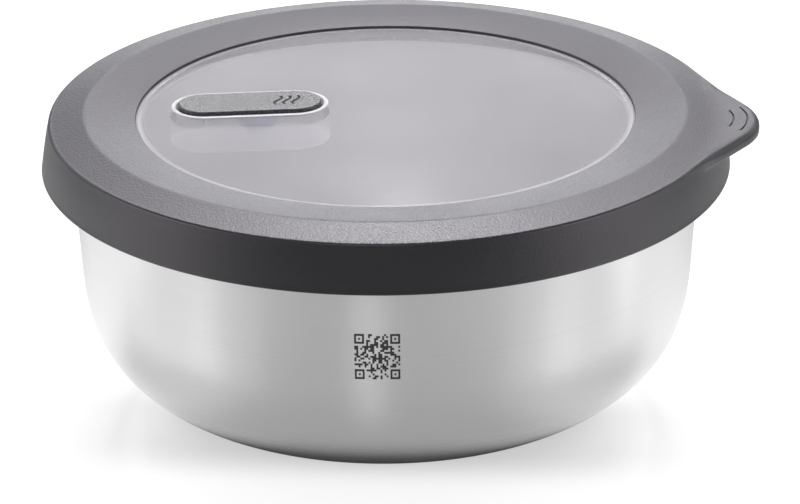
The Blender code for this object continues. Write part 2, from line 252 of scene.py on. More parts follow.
def dress(
    obj: bpy.types.Object,
    materials: Sequence[bpy.types.Material],
    choose: Callable[[bpy.types.MeshPolygon], int],
) -> None:
    """Give an object its materials and choose one for each face.

    Args:
        obj: Object to dress.
        materials: Its materials, in order.
        choose: Place of a face's material in that order.
    """
    obj.data.materials.clear()
    for material in materials:
        obj.data.materials.append(material)
    for face in obj.data.polygons:
        face.material_index = choose(face)


def place_piece(obj: bpy.types.Object, body: Body, slot: Slot, *nodes: str) -> None:
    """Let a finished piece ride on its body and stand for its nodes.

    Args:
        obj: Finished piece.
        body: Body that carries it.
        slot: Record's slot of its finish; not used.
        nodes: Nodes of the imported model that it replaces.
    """
    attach(obj, body.value)
    if nodes:
        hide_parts(*nodes)
    LOG.info("%s rides on %s with %d faces", obj.name, body.value, len(obj.data.polygons))


# Node helpers


class NodeKit:
    """Adds and joins the nodes of one tree."""

    def __init__(self, tree: bpy.types.NodeTree) -> None:
        """Keep the tree."""
        self.tree = tree

    def feed(self, socket: Socket, value: object) -> None:
        """Link an input, or set its value.

        Args:
            socket: Input to feed.
            value: Another socket, or a plain value.
        """
        if isinstance(value, Socket):
            self.tree.links.new(value, socket)
        else:
            socket.default_value = value

    def add(self, kind: str, inputs: dict | None = None, **settings: object) -> bpy.types.Node:
        """Add a node.

        Args:
            kind: Blender's name of the node type.
            inputs: Values or sockets for its inputs, by name or place.
            settings: Properties of the node itself.

        Returns:
            The new node.
        """
        node = self.tree.nodes.new(kind)
        for name, value in settings.items():
            setattr(node, name, value)
        for key, value in (inputs or {}).items():
            self.feed(node.inputs[key], value)
        return node

    def math(self, operation: str, *values: object) -> Socket:
        """Add a Math node.

        Args:
            operation: Blender's name of the operation.
            values: Its operands, as sockets or numbers.

        Returns:
            The result's socket.
        """
        node = self.add("ShaderNodeMath", operation=operation)
        for socket, value in zip(node.inputs, values):
            self.feed(socket, value)
        return node.outputs[0]

    def ramp(self, value: Socket, span: Span, results: Span) -> Socket:
        """Map a value smoothly from one range to another.

        Args:
            value: Socket to map.
            span: Start and end of its range.
            results: Results up to the start and from the end on.

        Returns:
            The result's socket.
        """
        node = self.add("ShaderNodeMapRange", {"Value": value}, interpolation_type="SMOOTHSTEP")
        for name, number in zip(("From Min", "From Max", "To Min", "To Max"), (*span, *results)):
            self.feed(node.inputs[name], number)
        return node.outputs["Result"]

    def vector(self, operation: str, *values: object) -> bpy.types.Node:
        """Add a Vector Math node.

        Args:
            operation: Blender's name of the operation.
            values: Its operands, as sockets or triples.

        Returns:
            The new node.
        """
        return self.add("ShaderNodeVectorMath", dict(enumerate(values)), operation=operation)

    def scaled(self, vector: object, factor: Socket) -> Socket:
        """Return the socket of a vector or colour times a number."""
        return self.add("ShaderNodeVectorMath", {0: vector, "Scale": factor}, operation="SCALE").outputs[0]

    def parts(self, vector: Socket) -> bpy.types.NodeOutputs:
        """Return the sockets X, Y and Z of a vector."""
        return self.add("ShaderNodeSeparateXYZ", {0: vector}).outputs

    def noise(self, place: Socket, scale: object, detail: float) -> Socket:
        """Return the socket of a noise from 0 to 1 at a place."""
        inputs = {"Vector": place, "Scale": scale, "Detail": detail}
        return self.add("ShaderNodeTexNoise", inputs).outputs[0]

    def surface_place(self) -> Socket:
        """Return the socket of a surface point's place on its object."""
        return self.add("ShaderNodeTexCoord").outputs["Object"]

    def from_axis(self, parts: bpy.types.NodeOutputs) -> Socket:
        """Return the socket of a point's distance from the Z axis."""
        square = self.math("ADD", self.math("POWER", parts["X"], 2.0), self.math("POWER", parts["Y"], 2.0))
        return self.math("SQRT", square)


class GeometryTree:
    """A Geometry Nodes tree with named inputs, run on an object until a plain mesh is left."""

    def __init__(self, name: str) -> None:
        """Start a tree with a geometry input and output.

        Args:
            name: Name of the tree.
        """
        self.tree = bpy.data.node_groups.new(name, "GeometryNodeTree")
        self.kit = NodeKit(self.tree)
        self.ids: dict[str, str] = {}
        for way in ("INPUT", "OUTPUT"):
            self.tree.interface.new_socket("Geometry", in_out=way, socket_type="NodeSocketGeometry")
        self.start = self.tree.nodes.new("NodeGroupInput")

    def named(self, name: str, kind: str) -> Socket:
        """Add a named input.

        Args:
            name: What the input holds.
            kind: Kind of value, such as Float, Int, Object or Material.

        Returns:
            The input's socket inside the tree.
        """
        made = self.tree.interface.new_socket(name, in_out="INPUT", socket_type=f"NodeSocket{kind}")
        self.ids[name] = made.identifier
        return self.start.outputs[name]

    def close(self, geometry: Socket) -> None:
        """End the tree in Realize Instances and Set Material.

        Args:
            geometry: Socket of what the tree has made.
        """
        material = self.named("Material", "Material")
        whole = self.kit.add("GeometryNodeRealizeInstances", {"Geometry": geometry})
        dressed = self.kit.add(
            "GeometryNodeSetMaterial", {"Geometry": whole.outputs[0], "Material": material}
        )
        end = self.tree.nodes.new("NodeGroupOutput")
        self.tree.links.new(dressed.outputs[0], end.inputs[0])

    def run(self, obj: bpy.types.Object, values: dict[str, object]) -> None:
        """Replace an object's mesh by what the tree makes of it.

        Args:
            obj: Object whose mesh goes in.
            values: Values of the named inputs.
        """
        step = obj.modifiers.new(self.tree.name, "NODES")
        step.node_group = self.tree
        for name, value in values.items():
            step[self.ids[name]] = value
        bake_modifiers(obj)


class TurnedPiece(GeometryTree):
    """Turns a profile of (radius, height) points about Z."""

    STEPS = 256
    SMALL_STEPS = 96

    def __init__(self) -> None:
        """Build the tree: a grid whose columns are the profile, turned step by step."""
        super().__init__("turned_piece")
        kit = self.kit
        steps = self.named("Steps", "Int")
        points = self.named("Points", "Int")
        columns = kit.math("ADD", steps, 1)
        grid = kit.add("GeometryNodeMeshGrid", {"Vertices X": columns, "Vertices Y": points})
        index = kit.add("GeometryNodeInputIndex").outputs[0]
        column = kit.math("FLOOR", kit.math("DIVIDE", kit.math("ADD", index, 0.5), points))
        row = kit.math("SUBTRACT", index, kit.math("MULTIPLY", column, points))
        place = kit.add("GeometryNodeInputPosition").outputs[0]
        sample = kit.add("GeometryNodeSampleIndex", data_type="FLOAT_VECTOR")
        kit.feed(sample.inputs["Geometry"], self.start.outputs["Geometry"])
        kit.feed(sample.inputs["Value"], place)
        kit.feed(sample.inputs["Index"], row)
        parts = kit.parts(sample.outputs[0])
        share = kit.math("DIVIDE", kit.math("MODULO", column, steps), steps)
        angle = kit.math("MULTIPLY", share, math.tau)
        x = kit.math("MULTIPLY", parts["X"], kit.math("COSINE", angle))
        y = kit.math("MULTIPLY", parts["X"], kit.math("SINE", angle))
        spot = kit.add("ShaderNodeCombineXYZ", {"X": x, "Y": y, "Z": parts["Z"]})
        moved = kit.add("GeometryNodeSetPosition", {"Geometry": grid.outputs[0], "Position": spot.outputs[0]})
        self.close(moved.outputs[0])

    def make(
        self, name: str, profile: Profile, material: bpy.types.Material, steps: int = STEPS
    ) -> bpy.types.Object:
        """Turn a closed profile.

        Args:
            name: Name of the piece.
            profile: Points of its outline, with the last one joined to the first.
            material: Its finish.
            steps: Facets round the piece.

        Returns:
            The turned piece, closed and with its faces outwards.
        """
        mesh = bpy.data.meshes.new(name)
        loop = [*profile, profile[0]]
        mesh.from_pydata([(radius, 0, height) for radius, height in loop], [], [])
        obj = new_object(name, mesh)
        self.run(obj, {"Steps": steps, "Points": len(loop), "Material": material})
        close_up(obj)
        return obj


class WaveLines(GeometryTree):
    """Parallel wavy rods that cut a steam symbol into a cover."""

    POINTS = 41
    SIDES = 10
    WAVES = 1.1

    def __init__(self) -> None:
        """Build the tree: one wavy line, made a rod and set out in a row."""
        super().__init__("wave_lines")
        kit = self.kit
        count = self.named("Count", "Int")
        pitch = self.named("Pitch", "Float")
        length = self.named("Length", "Float")
        sway = self.named("Sway", "Float")
        slant = self.named("Slant", "Float")
        radius = self.named("Radius", "Float")
        line = kit.add("GeometryNodeMeshLine", {"Count": self.POINTS})
        index = kit.add("GeometryNodeInputIndex").outputs[0]
        share = kit.math("DIVIDE", index, self.POINTS - 1)
        along = kit.math("SUBTRACT", share, 0.5)
        bend = kit.math("SINE", kit.math("MULTIPLY", along, math.tau * self.WAVES))
        x = kit.math("ADD", kit.math("MULTIPLY", bend, sway), kit.math("MULTIPLY", along, slant))
        y = kit.math("MULTIPLY", along, length)
        spot = kit.add("ShaderNodeCombineXYZ", {"X": x, "Y": y, "Z": 0.0})
        wave = kit.add("GeometryNodeSetPosition", {"Geometry": line.outputs[0], "Position": spot.outputs[0]})
        curve = kit.add("GeometryNodeMeshToCurve", {"Mesh": wave.outputs[0]})
        ring = kit.add("GeometryNodeCurvePrimitiveCircle", {"Resolution": self.SIDES, "Radius": radius})
        rod = kit.add(
            "GeometryNodeCurveToMesh",
            {"Curve": curve.outputs[0], "Profile Curve": ring.outputs[0], "Fill Caps": True},
        )
        offset = kit.add("ShaderNodeCombineXYZ", {"X": pitch})
        first = kit.math("MULTIPLY", pitch, kit.math("MULTIPLY", kit.math("SUBTRACT", count, 1), -0.5))
        start = kit.add("ShaderNodeCombineXYZ", {"X": first})
        row = kit.add(
            "GeometryNodeMeshLine",
            {"Count": count, "Start Location": start.outputs[0], "Offset": offset.outputs[0]},
        )
        copies = kit.add(
            "GeometryNodeInstanceOnPoints", {"Points": row.outputs[0], "Instance": rod.outputs[0]}
        )
        self.close(copies.outputs[0])


class EtchedSquare(GeometryTree):
    """A square of small etched fields laid on a round wall, open and filled at random."""

    HALF_COUNT = 11
    EYE_PLACE = 9
    EYE_REACH = 2
    OPEN_SHARE = 0.5
    PROUD = 0.04 * MM

    def __init__(self) -> None:
        """Build the tree: a grid of points, thinned out, each with a thin tile set on the wall."""
        super().__init__("etched_square")
        kit = self.kit
        size = self.named("Size", "Float")
        stretch = self.named("Stretch", "Vector")
        lift = self.named("Lift", "Float")
        seed = self.named("Seed", "Int")
        spin = self.named("Turn", "Float")
        middle = self.named("Middle", "Vector")
        wall = self.named("Wall", "Object")
        count = 2 * self.HALF_COUNT + 1
        grid = kit.add(
            "GeometryNodeMeshGrid",
            {"Size X": size, "Size Y": size, "Vertices X": count, "Vertices Y": count},
        )
        pitch = kit.math("DIVIDE", size, count - 1)
        parts = kit.parts(kit.add("GeometryNodeInputPosition").outputs[0])
        reach = [
            kit.math("ABSOLUTE", kit.math("SUBTRACT", self.column(parts[axis], pitch), self.EYE_PLACE))
            for axis in ("X", "Y")
        ]
        ring = kit.math("MAXIMUM", *reach)
        in_eye = kit.math("LESS_THAN", ring, self.EYE_REACH + 1.5)
        round_eye = kit.math("GREATER_THAN", ring, self.EYE_REACH + 0.5)
        round_pupil = kit.math("COMPARE", ring, 1.0, 0.5)
        open_eye = kit.math("MAXIMUM", round_pupil, round_eye)
        chance = kit.add(
            "FunctionNodeRandomValue", {"Probability": self.OPEN_SHARE, "Seed": seed}, data_type="BOOLEAN"
        )
        scatter = chance.outputs[3]
        drop = kit.add("GeometryNodeSwitch", {0: in_eye, 1: scatter, 2: open_eye}, input_type="BOOLEAN")
        kept = kit.add(
            "GeometryNodeDeleteGeometry", {"Geometry": grid.outputs[0], "Selection": drop.outputs[0]}
        )
        tile_size = kit.add("ShaderNodeCombineXYZ", {"X": pitch, "Y": pitch, "Z": lift})
        tile = kit.add("GeometryNodeMeshCube", {"Size": tile_size.outputs[0]})
        copies = kit.add(
            "GeometryNodeInstanceOnPoints", {"Points": kept.outputs[0], "Instance": tile.outputs[0]}
        )
        tiles = kit.add("GeometryNodeRealizeInstances", {0: copies.outputs[0]})
        turn = kit.add("ShaderNodeCombineXYZ", {"X": math.pi / 2, "Z": spin})
        stood = kit.add(
            "GeometryNodeTransform",
            {
                "Geometry": tiles.outputs[0],
                "Translation": middle,
                "Rotation": turn.outputs[0],
                "Scale": stretch,
            },
        )
        self.close(self.laid_on(stood.outputs[0], wall))

    def column(self, place: Socket, pitch: Socket) -> Socket:
        """Return the socket of a point's column or row, counted from the middle."""
        return self.kit.math("ROUND", self.kit.math("ABSOLUTE", self.kit.math("DIVIDE", place, pitch)))

    def laid_on(self, tiles: Socket, wall: Socket) -> Socket:
        """Move each point of the tiles to the wall, their outer faces just proud of it.

        Args:
            tiles: Tiles that stand in a plane touching the wall.
            wall: Object that they are laid on.

        Returns:
            Socket of the tiles on the wall.
        """
        kit = self.kit
        target = kit.add("GeometryNodeObjectInfo", {"Object": wall})
        place = kit.add("GeometryNodeInputPosition").outputs[0]
        near = kit.add("GeometryNodeProximity", {0: target.outputs["Geometry"]}, target_element="FACES")
        level = kit.vector("MULTIPLY", place, (1, 1, 0))
        out = kit.vector("NORMALIZE", level.outputs[0]).outputs[0]
        normal = kit.add("GeometryNodeInputNormal").outputs[0]
        facing = kit.vector("DOT_PRODUCT", normal, out).outputs["Value"]
        proud = kit.math("MULTIPLY", kit.math("SIGN", facing), self.PROUD)
        spot = kit.vector("ADD", near.outputs[0], kit.scaled(out, proud))
        laid = kit.add("GeometryNodeSetPosition", {"Geometry": tiles, "Position": spot.outputs[0]})
        return laid.outputs[0]


# Finishes


class FinishGroup:
    """A shader node group that varies a finish's colour, roughness and height, built once."""

    INPUTS = (
        ("Base Colour", "Color"),
        ("Colour Spread", "Float"),
        ("Scale", "Float"),
        ("Base Roughness", "Float"),
        ("Roughness Spread", "Float"),
    )
    OUTPUTS = (("Colour", "Color"), ("Roughness", "Float"), ("Height", "Float"))

    def __init__(self, name: str) -> None:
        """Make the group and its sockets.

        Args:
            name: Name of the effect.
        """
        self.tree = bpy.data.node_groups.new(name, "ShaderNodeTree")
        self.kit = NodeKit(self.tree)
        for way, sockets in (("INPUT", self.INPUTS), ("OUTPUT", self.OUTPUTS)):
            for label, kind in sockets:
                self.tree.interface.new_socket(label, in_out=way, socket_type=f"NodeSocket{kind}")
        self.start = self.tree.nodes.new("NodeGroupInput").outputs
        self.end = self.tree.nodes.new("NodeGroupOutput").inputs

    def close(self, fine: Socket, broad: Socket, broad_share: float) -> None:
        """Let a fine and a broad pattern vary the colour and roughness, and the fine one the height.

        Args:
            fine: Fine pattern, from 0 to 1.
            broad: Broad pattern, from 0 to 1.
            broad_share: How much the broad pattern counts beside the fine one.
        """
        kit, start = self.kit, self.start
        cloud = kit.math("MULTIPLY", kit.math("SUBTRACT", broad, 0.5), broad_share)
        mottle = kit.math("ADD", kit.math("SUBTRACT", fine, 0.5), cloud)
        light = kit.math("MULTIPLY_ADD", mottle, start["Colour Spread"], 1.0)
        rough = kit.math("MULTIPLY_ADD", mottle, start["Roughness Spread"], start["Base Roughness"])
        kit.feed(self.end["Colour"], kit.scaled(start["Base Colour"], light))
        kit.feed(self.end["Roughness"], rough)
        kit.feed(self.end["Height"], fine)


class MouldedGrain(FinishGroup):
    """Fine grain of a moulded surface, with a faint unevenness over it."""

    DETAIL = 2.0
    BROAD_SCALE = 45.0
    BROAD_DETAIL = 3.0
    BROAD_SHARE = 0.35

    def __init__(self) -> None:
        """Build the group."""
        super().__init__("moulded_grain")
        place = self.kit.surface_place()
        grain = self.kit.noise(place, self.start["Scale"], self.DETAIL)
        broad = self.kit.noise(place, self.BROAD_SCALE, self.BROAD_DETAIL)
        self.close(grain, broad, self.BROAD_SHARE)


class TurnedLines(FinishGroup):
    """Fine lines that run round the Z axis, as brushing leaves them on a turned sheet."""

    ALONG = 14.0
    DETAIL = 4.0
    BROAD_SCALE = 26.0
    BROAD_DETAIL = 2.0
    BROAD_SHARE = 0.3

    def __init__(self) -> None:
        """Build the group."""
        super().__init__("turned_lines")
        kit = self.kit
        place = kit.surface_place()
        parts = kit.parts(place)
        across = kit.math("ADD", kit.from_axis(parts), parts["Z"])
        stretched = kit.add(
            "ShaderNodeCombineXYZ",
            {
                "X": kit.math("MULTIPLY", parts["X"], self.ALONG),
                "Y": kit.math("MULTIPLY", parts["Y"], self.ALONG),
                "Z": kit.math("MULTIPLY", across, self.start["Scale"]),
            },
        )
        lines = kit.noise(stretched.outputs[0], 1.0, self.DETAIL)
        broad = kit.noise(place, self.BROAD_SCALE, self.BROAD_DETAIL)
        self.close(lines, broad, self.BROAD_SHARE)


@dataclass(frozen=True)
class SurfaceFinish:
    """A finish that takes its colour, roughness and relief from a shared group."""

    name: str
    colour: Colour
    colour_spread: float
    scale: float
    roughness: float
    roughness_spread: float
    relief: float
    specular: float = 0.5
    tint: Colour = (1.0, 1.0, 1.0)
    metallic: float = 0.0
    anisotropy: float = 0.0
    foot_height: float = 0.0
    light_spread: float = 0.0

    FOOT_START = 0.2
    FOOT_ROUGHNESS = 0.3
    RELIEF_DEPTH = 0.1 * MM
    ROUND_THE_AXIS = 0.25

    def build(self, group: FinishGroup) -> bpy.types.Material:
        """Make the material.

        Args:
            group: Effect that this finish uses.

        Returns:
            The new material.
        """
        material = bpy.data.materials.new(self.name)
        material.use_nodes = True
        kit = NodeKit(material.node_tree)
        shader = material.node_tree.nodes["Principled BSDF"]
        effect = kit.add("ShaderNodeGroup", node_tree=group.tree)
        values = (
            (*self.colour, 1.0),
            self.colour_spread,
            self.scale,
            self.roughness,
            self.roughness_spread,
        )
        for (label, _), value in zip(group.INPUTS, values):
            kit.feed(effect.inputs[label], value)
        rough = effect.outputs["Roughness"]
        if self.foot_height:
            level = kit.parts(kit.surface_place())["Z"]
            foot = (self.FOOT_START * self.foot_height, self.foot_height)
            rough = kit.math("MULTIPLY", rough, kit.ramp(level, foot, (self.FOOT_ROUGHNESS, 1.0)))
        kit.feed(shader.inputs["Base Color"], effect.outputs["Colour"])
        kit.feed(shader.inputs["Roughness"], rough)
        bump = kit.add("ShaderNodeBump", {"Strength": self.relief, "Distance": self.RELIEF_DEPTH})
        kit.feed(bump.inputs["Height"], effect.outputs["Height"])
        kit.feed(shader.inputs["Normal"], bump.outputs[0])
        shader.inputs["Metallic"].default_value = self.metallic
        shader.inputs["Specular IOR Level"].default_value = self.specular
        shader.inputs["Specular Tint"].default_value = (*self.tint, 1.0)
        if self.light_spread:
            shader.inputs["Subsurface Weight"].default_value = 1.0
            shader.inputs["Subsurface Radius"].default_value = (1.0, 1.0, 1.0)
            shader.inputs["Subsurface Scale"].default_value = self.light_spread
        if self.anisotropy:
            shader.inputs["Anisotropic"].default_value = self.anisotropy
            shader.inputs["Anisotropic Rotation"].default_value = self.ROUND_THE_AXIS
            tangent = kit.add("ShaderNodeTangent", direction_type="RADIAL", axis="Z")
            kit.feed(shader.inputs["Tangent"], tangent.outputs[0])
        return material


@dataclass(frozen=True)
class MilkyFinish:
    """Milky see-through plastic, denser towards a border round the Z axis."""

    name: str
    colour: Colour
    pane_density: float
    border_density: float
    border_radius: float
    border_width: float
    roughness: float

    HAZE_SCALE = 30.0
    HAZE_DETAIL = 2.0
    HAZE_SPREAD = 0.06
    SPECULAR = 0.4

    def build(self) -> bpy.types.Material:
        """Make the material.

        Returns:
            The new material.
        """
        material = bpy.data.materials.new(self.name)
        material.use_nodes = True
        kit = NodeKit(material.node_tree)
        shader = material.node_tree.nodes["Principled BSDF"]
        place = kit.surface_place()
        border = kit.ramp(
            kit.from_axis(kit.parts(place)),
            (self.border_radius - self.border_width, self.border_radius),
            (self.pane_density, self.border_density),
        )
        noise = kit.noise(place, self.HAZE_SCALE, self.HAZE_DETAIL)
        haze = kit.math("MULTIPLY", noise, self.HAZE_SPREAD)
        uneven = kit.math("SUBTRACT", haze, self.HAZE_SPREAD / 2)
        tone = kit.math("ADD", uneven, 1.0)
        kit.feed(shader.inputs["Alpha"], kit.math("ADD", border, uneven))
        kit.feed(shader.inputs["Base Color"], kit.scaled(self.colour, tone))
        kit.feed(shader.inputs["Roughness"], kit.math("ADD", haze, self.roughness))
        shader.inputs["Specular IOR Level"].default_value = self.SPECULAR
        return material


@dataclass(frozen=True)
class Finishes:
    """The materials of all pieces."""

    steel: bpy.types.Material
    steel_inside: bpy.types.Material
    etching: bpy.types.Material
    frame: bpy.types.Material
    frame_side: bpy.types.Material
    frame_band: bpy.types.Material
    retainer: bpy.types.Material
    seal: bpy.types.Material
    pane: bpy.types.Material
    collar: bpy.types.Material
    well: bpy.types.Material
    cap: bpy.types.Material
    engraving: bpy.types.Material
    plug: bpy.types.Material
    pin: bpy.types.Material

    @classmethod
    def build(cls, lid: "Lid") -> "Finishes":
        """Make every material.

        Args:
            lid: Lid whose sizes place the pane's border.

        Returns:
            The materials.
        """
        grain = MouldedGrain()
        lines = TurnedLines()
        steel: Colour = (0.612, 0.608, 0.611)
        dark: Colour = (0.028, 0.026, 0.036)
        cool: Colour = (0.97, 0.925, 1.0)
        white: Colour = (0.80, 0.79, 0.82)
        brushed = SurfaceFinish(
            "brushed_steel",
            steel,
            colour_spread=0.15,
            scale=5200.0,
            roughness=0.31,
            roughness_spread=0.1,
            relief=0.04,
            metallic=1.0,
            anisotropy=0.8,
            foot_height=18.0 * MM,
        )
        satin = replace(
            brushed,
            name="satin_steel",
            colour_spread=0.08,
            scale=4200.0,
            roughness=0.46,
            anisotropy=0.3,
            foot_height=0.0,
        )
        drawn = SurfaceFinish("drawn_steel", (0.6, 0.6, 0.6), 0.08, 3000.0, 0.3, 0.08, 0.03, metallic=1.0)
        etched = SurfaceFinish(
            "etched_steel", (0.05, 0.05, 0.052), 0.25, 2600.0, 0.6, 0.1, 0.05, metallic=0.3
        )
        frame_top = SurfaceFinish("soft_grey_plastic", dark, 0.9, 1900.0, 0.38, 0.3, 0.8, tint=cool)
        frame_band = replace(
            frame_top, name="grained_grey_plastic", colour_spread=1.0, scale=1700.0, relief=0.9, specular=0.56
        )
        # The side is the top's plastic given a darker colour as painted shade; its roughness and specular
        # differ too.
        frame_side = SurfaceFinish(
            "soft_grey_side",
            (0.012, 0.0114, 0.0136),
            colour_spread=0.4,
            scale=2000.0,
            roughness=0.42,
            roughness_spread=0.12,
            relief=0.45,
            specular=0.72,
            tint=cool,
        )
        retainer = SurfaceFinish("plain_white_plastic", white, 0.05, 1500.0, 0.5, 0.08, 0.06)
        seal = SurfaceFinish("grey_silicone", (0.42, 0.42, 0.43), 0.1, 1100.0, 0.6, 0.1, 0.06)
        collar = SurfaceFinish(
            "white_plastic", (0.5, 0.49, 0.525), 0.04, 900.0, 0.35, 0.08, 0.03, light_spread=2.0 * MM
        )
        cap = SurfaceFinish(
            "speckled_grey_plastic",
            (0.024, 0.0235, 0.026),
            colour_spread=1.2,
            scale=2000.0,
            roughness=0.3,
            roughness_spread=0.5,
            relief=1.2,
            specular=0.68,
            tint=cool,
        )
        engraving = SurfaceFinish(
            "engraved_plastic", (0.07, 0.069, 0.073), 0.3, 2600.0, 0.7, 0.1, 0.1, specular=0.2
        )
        plug = SurfaceFinish("blue_grey_silicone", (0.13, 0.22, 0.5), 0.1, 1300.0, 0.55, 0.1, 0.05)
        pane = MilkyFinish(
            "milky_plastic",
            (0.80, 0.78, 0.83),
            pane_density=0.22,
            border_density=0.5,
            border_radius=lid.pane_edge,
            border_width=2.0 * MM,
            roughness=0.14,
        )
        well = replace(
            pane,
            name="clouded_plastic",
            colour=(0.86, 0.85, 0.9),
            pane_density=0.32,
            border_density=0.32,
            roughness=0.3,
        )
        return cls(
            steel=brushed.build(lines),
            steel_inside=satin.build(lines),
            etching=etched.build(grain),
            frame=frame_top.build(grain),
            frame_side=frame_side.build(grain),
            frame_band=frame_band.build(grain),
            retainer=retainer.build(grain),
            seal=seal.build(grain),
            pane=pane.build(),
            collar=collar.build(grain),
            well=well.build(),
            cap=cap.build(grain),
            engraving=engraving.build(grain),
            plug=plug.build(grain),
            pin=drawn.build(lines),
        )


# Sub-assemblies


@dataclass
class Bowl:
    """Deep-drawn steel bowl with a rim turned out and down, and an etched square on its front.

    Its heart, a share of its height, is the point on the axis that the faces of the inside look towards.
    """

    height: float
    rim_radius: float
    rim_width: float = 2.7 * MM
    base_radius: float = 41.5 * MM
    side_start: float = 34.8 * MM
    side_power: float = 2.33
    side_steps: int = 40
    wall_flare: float = 3.3 * MM
    flare_start: float = 20.0 * MM
    flare_blend: float = 12.0 * MM
    sheet: float = 0.8 * MM
    rim_bend: float = 1.0 * MM
    rim_edge_bend: float = 0.5 * MM
    rim_turn_down: float = 3.0 * MM
    rim_start: float = 2.0 * MM
    heart: float = 0.9
    mark_size: float = 11.2 * MM
    mark_stretch: Point = (0.975, 1.085, 1.0)
    mark_lift: float = 0.1 * MM
    mark_off: float = 0.2 * MM
    mark_height: float = 42.6 * MM
    mark_angle: float = math.radians(2.35)
    mark_seed: int = 7

    @property
    def radius(self) -> float:
        """Outer radius of the wall at the rim."""
        return self.rim_radius - self.rim_width

    def flare(self, height: float) -> float:
        """Return how much wider the flare makes the bowl at a height.

        Args:
            height: Height above the base.

        Returns:
            Radius to add, from none near the base to the whole flare at the rim.
        """
        past = height - self.flare_start
        if abs(past) < self.flare_blend:
            past = (past + self.flare_blend) ** 2 / (4 * self.flare_blend)
        return self.wall_flare * max(past, 0.0) / (self.height - self.flare_start)

    def wall(self, height: float) -> float:
        """Outer radius of the wall above the curve."""
        return self.radius - self.wall_flare + self.flare(height)

    def outside(self) -> Profile:
        """Work out the outside of the sheet.

        Returns:
            Its points, from the base's centre to the end of the turned rim.
        """
        flat = [(0.0, 0.0), (self.base_radius / 2, 0.0), (self.base_radius, 0.0)]
        side: Profile = []
        for step in range(1, self.side_steps + 1):
            angle = math.pi / 2 * step / self.side_steps
            out = math.sin(angle) ** (2 / self.side_power)
            down = max(math.cos(angle), 0.0) ** (2 / self.side_power)
            height = self.side_start * (1 - down)
            radius = self.base_radius + (self.radius - self.wall_flare - self.base_radius) * out
            side.append((radius + self.flare(height), height))
        straight = self.side_start + self.rim_start
        under_rim = self.height - self.sheet
        rim_inside = self.rim_radius - self.sheet
        rim = rounded(
            [
                (self.wall(straight), straight, 0),
                (self.radius, under_rim, self.rim_bend),
                (rim_inside, under_rim, self.rim_edge_bend),
                (rim_inside, self.height - self.rim_turn_down, 0),
            ]
        )
        return [*flat, *side, *rim]

    def inside(self, outside: Profile) -> Profile:
        """Work out the other face of the sheet, a thickness away along the outline's normals.

        Args:
            outside: Outside of the sheet, from the base outwards.

        Returns:
            Points of the inside, in the same order.
        """
        points: Profile = []
        last = len(outside) - 1
        for place, (radius, height) in enumerate(outside):
            before = Vector(outside[max(place - 1, 0)])
            after = Vector(outside[min(place + 1, last)])
            along = (after - before).normalized()
            spot_radius = max(radius - along.y * self.sheet, 0.0)
            points.append((spot_radius if place else 0.0, height + along.x * self.sheet))
        return points

    def build(self, turning: TurnedPiece, finishes: Finishes) -> None:
        """Make and dress the bowl and its mark.

        Args:
            turning: Tree that turns profiles.
            finishes: Materials of all pieces.
        """
        outside = self.outside()
        shell = turning.make("bowl_shell", [*outside, *reversed(self.inside(outside))], finishes.steel)
        heart = Vector((0, 0, self.heart * self.height))

        def is_inside(face: bpy.types.MeshPolygon) -> int:
            """Return 1 for a face of the inside."""
            return int(face.normal.dot(heart - face.center) > 0)

        dress(shell, (finishes.steel, finishes.steel_inside), is_inside)
        shade(shell, degrees=50)
        mark = new_object("bowl_etching", bpy.data.meshes.new("bowl_etching"))
        touching = self.wall(self.mark_height) + self.mark_off
        spot = (touching * math.sin(self.mark_angle), -touching * math.cos(self.mark_angle), self.mark_height)
        values = {
            "Size": self.mark_size,
            "Stretch": self.mark_stretch,
            "Lift": self.mark_lift,
            "Seed": self.mark_seed,
            "Turn": self.mark_angle,
            "Middle": spot,
            "Wall": shell,
            "Material": finishes.etching,
        }
        EtchedSquare().run(mark, values)
        place_piece(shell, Body.BOWL, Slot.BOWL, "bowl")
        place_piece(mark, Body.BOWL, Slot.BOWL)


